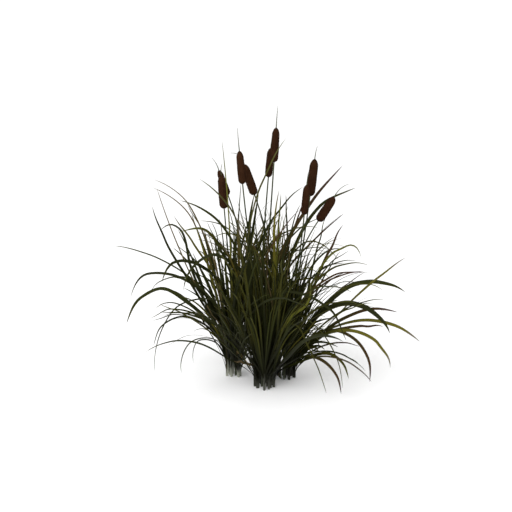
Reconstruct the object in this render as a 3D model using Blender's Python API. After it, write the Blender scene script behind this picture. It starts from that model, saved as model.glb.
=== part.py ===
"""A clump of cattails, cut off flat at the ground, as one Blender script.

Nine flowering stems carry a brown seed head each, with the bare spike tip above it. Round them stand
leaf fans: a short sheath at the ground and the blades that grow out of it. The clump has three tufts.
Everything is in metres, +Z up. The origin is the middle of the tallest stem's cut foot.
"""

import math

import bpy
import numpy as np
from mathutils import Vector
from mathutils.bvhtree import BVHTree

# How the outline was read: looking down a little, from this far, with the middle of the view here.
# Places given as (right, up) are metres in the upright plane of that view, from its middle.
VIEW_DISTANCE = 4.5
VIEW_TILT = math.radians(15)
VIEW_MIDDLE = np.array((-0.031, 0.0, 0.702))

# Stems, seed heads and spike tips.
STEM_FOOT_RADIUS = 0.0050
STEM_TOP_RADIUS = 0.0034
STEM_SIDES = 6
STEM_STATIONS = 8
HEAD_SIDES = 10
HEAD_END_RADIUS = 0.0045
TIP_FOOT_RADIUS = 0.0024
TIP_END_RADIUS = 0.0008
TIP_SIDES = 4
JOIN_GAP = 0.0003

# Sheaths, and where the blades start inside them.
SHEATH_HALF_LENGTH = 0.0095
SHEATH_HALF_WIDTH = 0.0055
SHEATH_SIDES = 6
SHEATH_TOP_SCALE = 0.9
SHEATH_HEIGHTS = (0.034, 0.046, 0.058)
ROOT_HEIGHT = 0.012
ROOT_PITCH = 0.0031

# Blades.
BLADES_PER_FAN = 6
OUTLINE_BLADES_PER_FAN = 4
BLADE_FOOT_SHARE = 0.45
BLADE_WIDEST_AT = 0.36
BLADE_TAPER_POWER = 0.6
BLADE_THICKNESS_SHARE = 0.20
TURN_POWER = 0.7
MOST_TWIST = math.radians(110)
FEWEST_STATIONS = 4
MOST_STATIONS = 7
BEND_PER_STATION = 64
BEND_WEIGHT = 0.8

# How the feet are spread over each tuft.
TUFT_RADIUS = 0.048
GOLDEN_ANGLE = math.radians(137.508)
FAN_SPACING = 0.0205
STEM_SPACING = 0.0155

# Room kept round every piece, and above the surface that the clump stands on.
ROOM = 0.0005
FLOOR_ROOM = 0.006
SEED = 7
MOST_TRIES = 500

# Tuft: middle of its foot (x, y), number of leaf fans.
TUFTS = {
    "left": ((-0.145, 0.165), 10),
    "middle": ((0.018, 0.0), 12),
    "right": ((0.124, 0.130), 11),
}

# Stem foot (x, y), head foot and head top (right, up), tip end (right, up), how far back the head
# stands at its foot and top (y), and the head's radius.
STALKS = [
    ((0.000, 0.000), (0.090, 0.470), (0.101, 0.641), (0.110, 0.753), 0.00, 0.00, 0.0185),
    ((-0.022, 0.020), (0.062, 0.395), (0.074, 0.539), (0.084, 0.600), 0.09, 0.10, 0.0170),
    ((0.012, -0.022), (-0.067, 0.361), (-0.083, 0.524), (-0.093, 0.639), -0.02, -0.03, 0.0180),
    ((0.100, 0.108), (-0.007, 0.306), (-0.060, 0.458), (-0.127, 0.515), 0.07, 0.09, 0.0180),
    ((-0.118, 0.182), (-0.140, 0.305), (-0.186, 0.428), (-0.221, 0.490), 0.21, 0.23, 0.0160),
    ((-0.140, 0.150), (-0.159, 0.238), (-0.173, 0.403), (-0.170, 0.460), 0.12, 0.12, 0.0190),
    ((0.140, 0.125), (0.270, 0.300), (0.294, 0.484), (0.307, 0.549), 0.12, 0.13, 0.0205),
    ((0.112, 0.150), (0.241, 0.207), (0.254, 0.355), (0.262, 0.420), 0.03, 0.03, 0.0165),
    ((0.118, 0.095), (0.311, 0.175), (0.391, 0.294), (0.463, 0.360), 0.10, 0.13, 0.0180),
]

# The leaves that make the outline: tuft, three places on the way (right, up), how far back the tip
# stands (y), and the blade's full width.
OUTLINE_LEAVES = [
    ("left", (-0.335, -0.237), (-0.480, -0.162), (-0.647, -0.337), 0.10, 0.016),
    ("left", (-0.350, -0.090), (-0.550, 0.012), (-0.709, 0.051), 0.30, 0.009),
    ("left", (-0.390, -0.105), (-0.530, -0.083), (-0.627, -0.206), 0.22, 0.010),
    ("left", (-0.350, -0.107), (-0.475, -0.125), (-0.550, -0.237), 0.40, 0.012),
    ("left", (-0.300, -0.045), (-0.400, -0.026), (-0.471, -0.130), 0.05, 0.013),
    ("left", (-0.330, -0.268), (-0.423, -0.231), (-0.502, -0.263), 0.34, 0.010),
    ("left", (-0.295, -0.298), (-0.400, -0.265), (-0.527, -0.311), 0.02, 0.011),
    ("left", (-0.295, -0.324), (-0.412, -0.309), (-0.512, -0.449), 0.06, 0.012),
    ("middle", (-0.180, -0.224), (-0.300, -0.215), (-0.505, -0.587), 0.10, 0.010),
    ("left", (-0.230, -0.410), (-0.310, -0.421), (-0.372, -0.584), 0.08, 0.009),
    ("left", (-0.205, -0.430), (-0.280, -0.420), (-0.311, -0.534), 0.30, 0.008),
    ("left", (-0.385, -0.030), (-0.470, 0.110), (-0.519, 0.248), 0.12, 0.009),
    ("left", (-0.350, 0.005), (-0.405, 0.155), (-0.485, 0.120), 0.36, 0.009),
    ("left", (-0.232, -0.041), (-0.347, 0.092), (-0.412, 0.203), 0.00, 0.015),
    ("left", (-0.160, 0.030), (-0.277, 0.138), (-0.386, 0.117), 0.08, 0.013),
    ("middle", (-0.116, 0.064), (-0.225, 0.208), (-0.382, 0.278), 0.10, 0.011),
    ("middle", (-0.058, 0.068), (-0.150, 0.269), (-0.285, 0.387), -0.10, 0.013),
    ("left", (-0.130, 0.090), (-0.150, 0.378), (-0.170, 0.579), 0.04, 0.013),
    ("middle", (-0.050, -0.095), (-0.220, 0.008), (-0.363, -0.175), 0.04, 0.012),
    ("left", (-0.250, 0.071), (-0.312, 0.208), (-0.344, 0.264), 0.26, 0.009),
    ("left", (-0.260, 0.029), (-0.302, 0.149), (-0.320, 0.208), 0.18, 0.010),
    ("middle", (-0.070, 0.080), (-0.150, 0.115), (-0.239, 0.064), 0.16, 0.009),
    ("middle", (-0.040, 0.080), (0.045, 0.407), (0.151, 0.590), -0.09, 0.011),
    ("middle", (0.056, 0.132), (0.177, 0.303), (0.234, 0.344), 0.16, 0.009),
    ("middle", (0.067, 0.028), (0.142, 0.143), (0.222, 0.235), -0.06, 0.010),
    ("middle", (0.137, 0.040), (0.240, 0.215), (0.433, 0.452), 0.16, 0.014),
    ("right", (0.122, 0.074), (0.137, 0.171), (0.162, 0.260), 0.02, 0.011),
    ("middle", (0.110, 0.090), (0.122, 0.200), (0.125, 0.315), 0.10, 0.011),
    ("right", (0.217, 0.091), (0.347, 0.271), (0.498, 0.341), 0.20, 0.013),
    ("right", (0.263, 0.045), (0.345, 0.142), (0.438, 0.212), 0.04, 0.010),
    ("right", (0.325, -0.064), (0.378, 0.055), (0.436, 0.156), 0.28, 0.011),
    ("right", (0.335, -0.064), (0.470, 0.057), (0.527, -0.012), 0.10, 0.011),
    ("right", (0.300, 0.010), (0.370, 0.073), (0.443, 0.085), 0.34, 0.009),
    ("right", (0.397, -0.308), (0.570, -0.140), (0.749, -0.007), 0.06, 0.015),
    ("right", (0.369, -0.226), (0.510, -0.135), (0.747, -0.181), 0.24, 0.019),
    ("right", (0.380, -0.200), (0.450, -0.145), (0.549, -0.079), 0.36, 0.012),
    ("right", (0.360, -0.265), (0.490, -0.236), (0.670, -0.387), -0.02, 0.020),
    ("right", (0.380, -0.350), (0.550, -0.268), (0.707, -0.281), 0.14, 0.013),
    ("right", (0.420, -0.345), (0.600, -0.322), (0.819, -0.428), 0.02, 0.016),
    ("right", (0.380, -0.372), (0.527, -0.356), (0.636, -0.353), 0.30, 0.012),
    ("right", (0.388, -0.378), (0.575, -0.404), (0.672, -0.559), -0.08, 0.013),
    ("right", (0.390, -0.370), (0.520, -0.440), (0.568, -0.629), 0.00, 0.012),
    ("right", (0.310, -0.460), (0.407, -0.433), (0.517, -0.452), 0.12, 0.010),
    ("right", (0.300, -0.480), (0.380, -0.478), (0.515, -0.543), 0.04, 0.010),
    ("right", (0.290, -0.495), (0.400, -0.502), (0.463, -0.613), -0.12, 0.010),
    ("right", (0.260, -0.500), (0.370, -0.550), (0.426, -0.690), -0.18, 0.012),
    ("middle", (0.140, -0.180), (0.300, -0.215), (0.450, -0.420), -0.20, 0.012),
    ("middle", (0.200, -0.345), (0.290, -0.520), (0.352, -0.685), -0.24, 0.010),
    ("middle", (0.230, -0.300), (0.390, -0.480), (0.433, -0.660), -0.16, 0.010),
    ("middle", (-0.010, -0.550), (-0.060, -0.535), (-0.109, -0.525), -0.06, 0.009),
]
OUTLINE_SHARES = (0.40, 0.72, 1.0)
DEPTH_STEP = 0.02
DEPTH_STEPS = 8
OUTLINE_TURN = (math.radians(50), math.radians(95))

# Every other leaf is drawn at random between these, as (least, most). A leaf on the outer side of a
# fan at the tuft's rim leans and bends the most, and one at the heart of the tuft the least.
FILL_LENGTH = (0.62, 1.10)
FILL_WIDTH = (0.012, 0.018)
FILL_LEAN = (math.radians(8), math.radians(54))
FILL_BEND = (math.radians(12), math.radians(105))
FILL_BEND_POWER = (1.5, 3.2)
FILL_SPREAD = math.radians(75)
FILL_SWING = 0.35
FILL_TURN = math.radians(110)
LEAST_LEAN_SHARE = 0.16

# The drawn leaves keep inside this dome, as seen, and between these depths (y).
DOME_MIDDLE = (0.060, -0.600)
DOME_HALF_WIDTH = 0.66
DOME_HEIGHT = 0.92
NEAREST = -0.56
FARTHEST = 0.74

COLOURS = {
    "stem": ((0.045, 0.060, 0.016), 0.55),
    "seed_head": ((0.060, 0.022, 0.009), 0.95),
    "spike_tip": ((0.110, 0.100, 0.055), 0.70),
    "leaf_fan": ((0.035, 0.045, 0.010), 0.50),
}

UPWARD = np.array((0.0, 0.0, 1.0))
VIEW_RIGHT = np.array((1.0, 0.0, 0.0))
VIEW_FORWARD = np.array((0.0, math.cos(VIEW_TILT), -math.sin(VIEW_TILT)))
VIEW_UP = np.array((0.0, math.sin(VIEW_TILT), math.cos(VIEW_TILT)))
VIEW_EYE = VIEW_MIDDLE - VIEW_DISTANCE * VIEW_FORWARD


def point_behind(place, back):
    """The point at depth y = back that is seen at this (right, up) place."""
    ray = VIEW_DISTANCE * VIEW_FORWARD + place[0] * VIEW_RIGHT + place[1] * VIEW_UP
    return VIEW_EYE + ray * (back - VIEW_EYE[1]) / ray[1]


def seen_places(points):
    """The (right, up) place at which each point is seen."""
    away = points - VIEW_EYE
    scale = VIEW_DISTANCE / (away @ VIEW_FORWARD)
    return (away @ VIEW_RIGHT) * scale, (away @ VIEW_UP) * scale


def unit(vector):
    return vector / np.linalg.norm(vector)


def between(limits, share):
    return limits[0] + (limits[1] - limits[0]) * share


def smooth_curve(points, count):
    """Evenly spaced points on one smooth curve through a few given ones."""
    points = np.array(points, float)
    gaps = np.linalg.norm(np.diff(points, axis=0), axis=1)
    knots = np.concatenate([[0.0], np.cumsum(gaps)])
    slopes = np.gradient(points, knots, axis=0, edge_order=2)
    along = np.linspace(0.0, knots[-1], count)
    k = np.clip(np.searchsorted(knots, along, side="right") - 1, 0, len(gaps) - 1)
    gap = gaps[k][:, None]
    t = (along[:, None] - knots[k][:, None]) / gap
    start = (2 * t**3 - 3 * t**2 + 1) * points[k] + (t**3 - 2 * t**2 + t) * gap * slopes[k]
    end = (3 * t**2 - 2 * t**3) * points[k + 1] + (t**3 - t**2) * gap * slopes[k + 1]
    return start + end


def directions(points):
    """The direction of travel at each point."""
    steps = np.gradient(points, axis=0)
    return steps / np.linalg.norm(steps, axis=1)[:, None]


def skin(rings):
    """The points and faces that join closed rings into one capped skin. A ring of one point is a tip.

    Each four-cornered face is split along its outer diagonal, so that a twisted run stays solid.
    """
    points = [Vector(point) for ring in rings for point in ring]
    starts = np.concatenate([[0], np.cumsum([len(ring) for ring in rings])]).tolist()
    faces = [tuple(reversed(range(starts[0], starts[1])))]
    for low, high, after in zip(starts, starts[1:], starts[2:]):
        middle = sum(points[low:after], Vector()) / (after - low)
        for i in range(high - low):
            j = (i + 1) % (high - low)
            if after - high == 1:
                faces.append((low + i, low + j, high))
                continue
            a, b, c, d = points[low + i], points[low + j], points[high + j], points[high + i]
            if (a + c - b - d).dot(0.25 * (a + b + c + d) - middle) > 0:
                faces.append((low + i, low + j, high + j))
                faces.append((low + i, high + j, high + i))
            else:
                faces.append((low + i, low + j, high + i))
                faces.append((low + j, high + j, high + i))
    if len(rings[-1]) > 1:
        faces.append(tuple(range(starts[-2], starts[-1])))
    return points, faces


def joined_skins(many):
    """Several skins as one list of points and one of faces."""
    points = []
    faces = []
    for rings in many:
        more_points, more_faces = skin(rings)
        faces += [tuple(i + len(points) for i in face) for face in more_faces]
        points += more_points
    return points, faces


class Clump:
    """What already stands, so that each new blade can be kept clear of it."""

    def __init__(self):
        self.skins = {}
        self.trees = {}

    def add(self, owner, rings):
        self.skins.setdefault(owner, []).append(rings)
        self.trees[owner] = BVHTree.FromPolygons(*joined_skins(self.skins[owner]))

    def has_room(self, owner, rings):
        tree = BVHTree.FromPolygons(*skin(rings))
        return not any(other.overlap(tree) for name, other in self.trees.items() if name != owner)


def clear_scene():
    for obj in list(bpy.data.objects):
        bpy.data.objects.remove(obj, do_unlink=True)


def material(kind):
    """One material for each kind of piece."""
    made = bpy.data.materials.get(kind)
    if made is None:
        colour, roughness = COLOURS[kind]
        made = bpy.data.materials.new(kind)
        made.use_nodes = True
        shader = made.node_tree.nodes["Principled BSDF"]
        shader.inputs["Base Color"].default_value = (*colour, 1.0)
        shader.inputs["Roughness"].default_value = roughness
        shader.inputs["Metallic"].default_value = 0.0
    return made


def add_object(name, skins, kind):
    """An object made of one or more skins, shaded smooth but for its sharp edges."""
    points, faces = joined_skins(skins)
    mesh = bpy.data.meshes.new(name)
    mesh.from_pydata(points, [], faces)
    mesh.materials.append(material(kind))
    obj = bpy.data.objects.new(name, mesh)
    bpy.context.scene.collection.objects.link(obj)
    shade_round(mesh)
    return obj


def shade_round(mesh):
    mesh.shade_smooth()
    mesh.set_sharp_from_angle(angle=math.radians(50))


def round_rings(points, radii, sides, level_foot=False):
    """Rings of a round run. With level_foot, the first ring lies flat on the ground."""
    tangents = directions(points)
    if level_foot:
        tangents[0] = UPWARD
    turns = np.linspace(0.0, 2 * math.pi, sides, endpoint=False)[:, None]
    rings = []
    for point, tangent, radius in zip(points, tangents, radii):
        across = unit(np.cross((0.0, 1.0, 0.0), tangent))
        third = np.cross(tangent, across)
        rings.append(point + radius * (np.cos(turns) * across + np.sin(turns) * third))
    return rings


def head_profile(length, radius):
    """Stations along a seed head and its radius at each: round ends on a body that thins upwards."""
    foot = 0.9 * radius
    crown = 1.5 * radius
    body = length - foot - crown
    profile = [
        (0.0, HEAD_END_RADIUS),
        (0.28 * foot, 0.66 * radius),
        (foot, 0.97 * radius),
        (foot + 0.35 * body, radius),
        (foot + body, 0.90 * radius),
        (length - 0.62 * crown, 0.76 * radius),
        (length - 0.22 * crown, 0.50 * radius),
        (length, 0.7 * HEAD_END_RADIUS),
    ]
    return np.array(profile).T


def stem_curve(foot, head_foot, axis):
    """A stem that leaves the ground nearly upright and runs straight into its head."""
    start = np.array((foot[0], foot[1], 0.0))
    reach = 0.38 * np.linalg.norm(head_foot - start)
    rising = unit(UPWARD + 0.35 * unit(head_foot - start))
    handles = (start, start + reach * rising, head_foot - reach * axis, head_foot)
    t = np.linspace(0.0, 1.0, STEM_STATIONS)[:, None]
    weights = ((1 - t) ** 3, 3 * t * (1 - t) ** 2, 3 * t**2 * (1 - t), t**3)
    return sum(weight * handle for weight, handle in zip(weights, handles))


def add_stalk(clump, number, foot, low, high, end, back_low, back_high, radius):
    """A stem, its seed head and the spike tip above, end to end with a small gap."""
    head_foot = point_behind(low, back_low)
    head_top = point_behind(high, back_high)
    axis = unit(head_top - head_foot)
    along, head_radii = head_profile(np.linalg.norm(head_top - head_foot), radius)
    head = head_foot + along[:, None] * axis
    stem = stem_curve(foot, head_foot - JOIN_GAP * axis, axis)
    stem_radii = np.linspace(STEM_FOOT_RADIUS, STEM_TOP_RADIUS, len(stem))
    tip_foot = head_top + JOIN_GAP * axis
    tip_end = point_behind(end, back_high)
    tip_middle = tip_foot + 0.45 * np.linalg.norm(tip_end - tip_foot) * axis
    tip = np.array([tip_foot, tip_middle, tip_end])
    tip_radii = np.linspace(TIP_FOOT_RADIUS, TIP_END_RADIUS, len(tip))
    runs = (
        ("stem", stem, stem_radii, STEM_SIDES, True),
        ("seed_head", head, head_radii, HEAD_SIDES, False),
        ("spike_tip", tip, tip_radii, TIP_SIDES, False),
    )
    for kind, points, radii, sides, level_foot in runs:
        rings = round_rings(points, radii, sides, level_foot)
        add_object(f"{kind}_{number}", [rings], kind)
        clump.add(f"stalk_{number}", round_rings(points, radii + ROOM, sides, level_foot))


class Fan:
    """One leaf fan: where it stands, which way its blades are stacked, and the blades it has."""

    def __init__(self, number, tuft, place):
        middle = np.array(TUFTS[tuft][0])
        outwards = place - middle
        self.name = f"leaf_fan_{number:02d}"
        self.tuft = tuft
        self.place = place
        self.heading = math.atan2(outwards[1], outwards[0])
        self.rim_share = min(np.linalg.norm(outwards) / TUFT_RADIUS, 1.0)
        self.height = SHEATH_HEIGHTS[number % len(SHEATH_HEIGHTS)]
        self.free_slots = list(range(BLADES_PER_FAN))
        self.blades = []
        self.trees = []

    def sheath_rings(self, room=0.0):
        """The oval sheath, from its flat cut foot to its top."""
        stack = np.array((math.cos(self.heading), math.sin(self.heading), 0.0))
        across = np.array((-stack[1], stack[0], 0.0))
        middle = np.array((*self.place, 0.0))
        turns = 2 * math.pi * (np.arange(SHEATH_SIDES)[:, None] + 0.5) / SHEATH_SIDES
        rings = []
        for height, scale in ((0.0, 1.0), (self.height + room, SHEATH_TOP_SCALE)):
            length = scale * SHEATH_HALF_LENGTH + room
            width = scale * SHEATH_HALF_WIDTH + room
            oval = length * np.cos(turns) * stack + width * np.sin(turns) * across
            rings.append(middle + height * UPWARD + oval)
        return rings

    def slot_side(self, slot):
        """Which side of the fan a slot is on: 1 is outermost in the tuft, and -1 innermost."""
        return 2 * slot / (BLADES_PER_FAN - 1) - 1

    def root(self, slot):
        offset = 0.5 * (BLADES_PER_FAN - 1) * self.slot_side(slot) * ROOT_PITCH
        x = self.place[0] + offset * math.cos(self.heading)
        y = self.place[1] + offset * math.sin(self.heading)
        return np.array((x, y, ROOT_HEIGHT))


def make_fans(clump):
    """Stands the fans in each tuft, spiralling out from its middle, clear of the stems' feet."""
    stem_feet = [np.array(row[0]) for row in STALKS]
    fans = []
    for tuft, (middle, count) in TUFTS.items():
        places = []
        step = 0
        while len(places) < count:
            reach = TUFT_RADIUS * math.sqrt((step + 0.5) / (count + 3))
            turn = step * GOLDEN_ANGLE
            place = np.array(middle) + reach * np.array((math.cos(turn), math.sin(turn)))
            off_stems = all(np.linalg.norm(place - foot) > STEM_SPACING for foot in stem_feet)
            off_fans = all(np.linalg.norm(place - other) > FAN_SPACING for other in places)
            if off_stems and off_fans:
                places.append(place)
            step += 1
        for place in places:
            fan = Fan(len(fans) + 1, tuft, place)
            clump.add(fan.name, fan.sheath_rings(ROOM))
            fans.append(fan)
    return fans


def blade_points(fine):
    """A blade's stations: closer together where it bends more."""
    steps = np.diff(fine, axis=0)
    lengths = np.linalg.norm(steps, axis=1)
    ways = steps / lengths[:, None]
    cosines = np.clip((ways[1:] * ways[:-1]).sum(axis=1), -1.0, 1.0)
    bends = np.concatenate([[0.0], np.degrees(np.arccos(cosines))])
    count = round(FEWEST_STATIONS + bends.sum() / BEND_PER_STATION)
    measure = lengths / lengths.sum() + BEND_WEIGHT * bends / bends.sum()
    along = np.concatenate([[0.0], np.cumsum(measure)])
    stations = np.linspace(0.0, along[-1], min(count, MOST_STATIONS))
    return np.stack([np.interp(stations, along, fine[:, axis]) for axis in range(3)], axis=1)


def length_shares(points):
    """How far along the run each point is: 0 at its foot and 1 at its end."""
    steps = np.linalg.norm(np.diff(points, axis=0), axis=1)
    return np.concatenate([[0.0], np.cumsum(steps)]) / steps.sum()


def blade_radii(width, shares):
    """Half the blade's width at each station: narrow at the sheath, widest low down, then to a tip."""
    rise = np.sin(0.5 * math.pi * np.minimum(shares / BLADE_WIDEST_AT, 1.0))
    fall = np.clip((1 - shares) / (1 - BLADE_WIDEST_AT), 0.0, 1.0) ** BLADE_TAPER_POWER
    return 0.5 * width * (BLADE_FOOT_SHARE + (1 - BLADE_FOOT_SHARE) * rise) * fall


def blade_rings(points, radii, turns, room=0.0):
    """Three-cornered rings: the blade's two edges, and the keel on its underside."""
    tangents = directions(points)
    away = points[-1] - points[0]
    side = unit(np.array((-away[1], away[0], 0.0)))
    rings = []
    for point, tangent, radius, turn in zip(points[:-1], tangents, radii, turns):
        across = unit(side - side.dot(tangent) * tangent)
        below = np.cross(across, tangent)
        flat = math.cos(turn) * across + math.sin(turn) * below
        deep = math.cos(turn) * below - math.sin(turn) * across
        reach = (radius + 2 * room) * flat
        keel = (2 * BLADE_THICKNESS_SHARE * radius + 2 * room) * deep
        rings.append([point + reach - room * deep, point - reach - room * deep, point + keel])
    rings.append([points[-1] + room * tangents[-1]])
    return rings


def foot_turn(fan, points):
    """The turn that lays a blade's foot flat against the other blades in its sheath."""
    away = points[-1] - points[0]
    turn = math.atan2(away[1], away[0]) - fan.heading
    return (turn + 0.5 * math.pi) % math.pi - 0.5 * math.pi


def try_blade(clump, fan, slot, fine, width, tip_turn):
    """Adds a blade to the fan if it stays off the ground and clear of everything else."""
    points = blade_points(fine)
    if points[1:, 2].min() < FLOOR_ROOM:
        return False
    shares = length_shares(points)
    radii = blade_radii(width, shares)
    start_turn = foot_turn(fan, points)
    end_turn = min(max(tip_turn, start_turn - MOST_TWIST), start_turn + MOST_TWIST)
    turns = between((start_turn, end_turn), shares**TURN_POWER)
    rings = blade_rings(points, radii, turns)
    tree = BVHTree.FromPolygons(*skin(rings))
    if any(tree.overlap(other) for other in fan.trees):
        return False
    wide_rings = blade_rings(points, radii, turns, ROOM)
    if not clump.has_room(fan.name, wide_rings):
        return False
    clump.add(fan.name, wide_rings)
    fan.blades.append(rings)
    fan.trees.append(tree)
    fan.free_slots.remove(slot)
    return True


def depth_shifts():
    """How far back or forward an outline leaf may be moved to find room, nearest first."""
    shifts = [0.0]
    for step in range(1, DEPTH_STEPS + 1):
        shifts += [step * DEPTH_STEP, -step * DEPTH_STEP]
    return shifts


def add_outline_leaf(clump, fans, rng, tuft, first, second, last, back, width):
    """Grows an outline leaf from the fan of its tuft that best faces its way and has room."""
    middle = np.array(TUFTS[tuft][0])
    way = unit(point_behind(last, back)[:2] - middle)
    facing = -math.copysign(1.0, way[0])
    tip_turn = facing * rng.uniform(*OUTLINE_TURN)
    most_left = BLADES_PER_FAN - OUTLINE_BLADES_PER_FAN
    ready = [fan for fan in fans if fan.tuft == tuft and len(fan.free_slots) > most_left]
    ready.sort(key=lambda fan: -way.dot(fan.place - middle))
    for shift in depth_shifts():
        for fan in ready:
            outer = math.cos(fan.heading) * way[0] + math.sin(fan.heading) * way[1] > 0
            slot = fan.free_slots[-1 if outer else 0]
            root = fan.root(slot)
            run = [root]
            for place, share in zip((first, second, last), OUTLINE_SHARES):
                run.append(point_behind(place, between((root[1], back + shift), share)))
            fine = smooth_curve(run, 33)
            if try_blade(clump, fan, slot, fine, width, tip_turn):
                return
    print("no room for the outline leaf that ends at", last)


def bowed_curve(root, azimuth, lean, bend, power, length, swing):
    """A leaf that leaves the sheath at an angle and bows over more and more towards its tip."""
    along = np.linspace(0.0, 1.0, 33)
    angle = lean + bend * along**power
    heading = azimuth + swing * along
    flat = np.sin(angle)
    steps = np.stack([flat * np.cos(heading), flat * np.sin(heading), np.cos(angle)], axis=1)
    steps = 0.5 * (steps[1:] + steps[:-1]) * length / (len(along) - 1)
    return root + np.vstack([np.zeros(3), np.cumsum(steps, axis=0)])


def keeps_to_dome(points):
    right, up = seen_places(points)
    wide = (right - DOME_MIDDLE[0]) / DOME_HALF_WIDTH
    high = (up - DOME_MIDDLE[1]) / DOME_HEIGHT
    depths = points[:, 1]
    in_depth = NEAREST < depths.min() and depths.max() < FARTHEST
    return in_depth and bool((wide**2 + high**2 < 1.0).all())


def add_fill_leaf(clump, fan, slot, rng):
    """Draws leaves for one free slot until one has room."""
    side = fan.slot_side(slot)
    outer_share = (0.35 + 0.65 * fan.rim_share) * 0.5 * (1 + side)
    lean_share = LEAST_LEAN_SHARE + (1 - LEAST_LEAN_SHARE) * outer_share
    for _ in range(MOST_TRIES):
        azimuth = fan.heading + rng.uniform(-FILL_SPREAD, FILL_SPREAD)
        lean = lean_share * rng.uniform(*FILL_LEAN)
        bend = rng.uniform(*FILL_BEND)
        power = rng.uniform(*FILL_BEND_POWER)
        length = between(FILL_LENGTH, rng.uniform(0.35 * (1 - outer_share), 1.0))
        width = rng.uniform(*FILL_WIDTH)
        swing = rng.uniform(-FILL_SWING, FILL_SWING)
        tip_turn = rng.uniform(-FILL_TURN, FILL_TURN)
        fine = bowed_curve(fan.root(slot), azimuth, lean, bend, power, length, swing)
        if not keeps_to_dome(fine):
            continue
        if try_blade(clump, fan, slot, fine, width, tip_turn):
            return


def add_fan(fan):
    """The sheath and its blades, grown together into one solid."""
    sheath = add_object(fan.name, [fan.sheath_rings()], "leaf_fan")
    blades = add_object("blades", fan.blades, "leaf_fan")
    union = sheath.modifiers.new("grown together", "BOOLEAN")
    union.operation = "UNION"
    union.solver = "EXACT"
    union.object = blades
    bpy.context.view_layer.update()
    view = bpy.context.evaluated_depsgraph_get()
    grown = bpy.data.meshes.new_from_object(sheath.evaluated_get(view))
    sheath.modifiers.clear()
    sheath.data = grown
    shade_round(grown)
    bpy.data.objects.remove(blades, do_unlink=True)


def main():
    clear_scene()
    clump = Clump()
    for number, row in enumerate(STALKS, start=1):
        add_stalk(clump, number, *row)
    fans = make_fans(clump)
    rng = np.random.default_rng(SEED)
    lowest_first = sorted(OUTLINE_LEAVES, key=lambda row: row[1][1])
    for row in lowest_first:
        add_outline_leaf(clump, fans, rng, *row)
    for turn in range(BLADES_PER_FAN):
        for fan in fans:
            if turn in fan.free_slots:
                add_fill_leaf(clump, fan, turn, rng)
    for fan in fans:
        add_fan(fan)
    print(sum(len(fan.blades) for fan in fans), "blades in", len(fans), "leaf fans")


main()
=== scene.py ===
# %% [markdown]
# # A clump of cattails
# Nine flowering stalks stand among arching, sword-shaped leaves, cut off flat at the ground. A frame
# of plain solids already says where everything is: how tall the stalks are, where each leaf goes and
# how wide it is. This script dresses that frame. Every path is read back from the frame's own solids,
# so nothing can drift away from them, and Geometry Nodes grow the real surfaces along those paths.

import math

import bmesh
import bpy
import numpy as np
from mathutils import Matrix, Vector
from mathutils.bvhtree import BVHTree


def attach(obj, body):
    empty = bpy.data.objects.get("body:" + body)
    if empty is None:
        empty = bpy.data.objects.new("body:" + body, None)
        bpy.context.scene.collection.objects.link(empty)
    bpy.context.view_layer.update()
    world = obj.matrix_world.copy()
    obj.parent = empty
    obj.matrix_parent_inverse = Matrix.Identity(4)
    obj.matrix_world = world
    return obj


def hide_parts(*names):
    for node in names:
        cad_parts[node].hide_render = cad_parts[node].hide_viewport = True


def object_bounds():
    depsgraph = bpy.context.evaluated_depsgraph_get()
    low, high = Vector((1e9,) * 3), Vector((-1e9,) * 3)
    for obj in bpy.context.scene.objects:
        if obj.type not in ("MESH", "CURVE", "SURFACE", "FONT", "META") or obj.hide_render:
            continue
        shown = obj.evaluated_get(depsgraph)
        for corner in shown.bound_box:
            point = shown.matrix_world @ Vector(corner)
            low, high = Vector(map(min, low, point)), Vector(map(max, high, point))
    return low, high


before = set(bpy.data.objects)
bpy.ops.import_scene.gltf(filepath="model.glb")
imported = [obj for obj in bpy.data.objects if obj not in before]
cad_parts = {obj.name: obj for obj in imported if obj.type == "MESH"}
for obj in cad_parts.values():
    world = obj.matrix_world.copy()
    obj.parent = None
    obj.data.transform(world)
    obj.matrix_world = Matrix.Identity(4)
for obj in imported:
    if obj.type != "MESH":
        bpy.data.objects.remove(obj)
cad_low, cad_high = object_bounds()
print("frame box, metres:", [round(value, 3) for value in (*cad_low, *cad_high)])

# %% [markdown]
# ## Camera
# The photograph looks down on the clump by fifteen degrees from about four and a half metres away.
# The lens follows from two lengths: at that distance the square picture is 2.56 m wide.

# %% Camera
VIEW_DISTANCE = 4.5
VIEW_TILT = math.radians(15)
VIEW_MIDDLE = Vector((-0.031, 0.0, 0.702))
VIEW_WIDTH = 2.56
SENSOR_MILLIMETRES = 36.0

scene = bpy.context.scene
camera = bpy.data.objects.new("camera", bpy.data.cameras.new("camera"))
camera.data.sensor_width = SENSOR_MILLIMETRES
camera.data.lens = SENSOR_MILLIMETRES * VIEW_DISTANCE / VIEW_WIDTH
view_forward = Vector((0.0, math.cos(VIEW_TILT), -math.sin(VIEW_TILT)))
view_up = Vector((0.0, math.sin(VIEW_TILT), math.cos(VIEW_TILT)))
view_right = Vector((1.0, 0.0, 0.0))
camera.location = VIEW_MIDDLE - VIEW_DISTANCE * view_forward
camera.rotation_euler = (math.radians(90) - VIEW_TILT, 0.0, 0.0)
scene.collection.objects.link(camera)
scene.camera = camera
print("lens:", round(camera.data.lens, 1), "mm")

# %% [markdown]
# ## Sums with sockets
# Materials and Geometry Nodes are both graphs of nodes, and most of their nodes are plain sums. Adding
# those one by one hides what they work out. So one small class wraps a socket, and a sum such as
# 1 - mask adds its own Math nodes.


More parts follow.
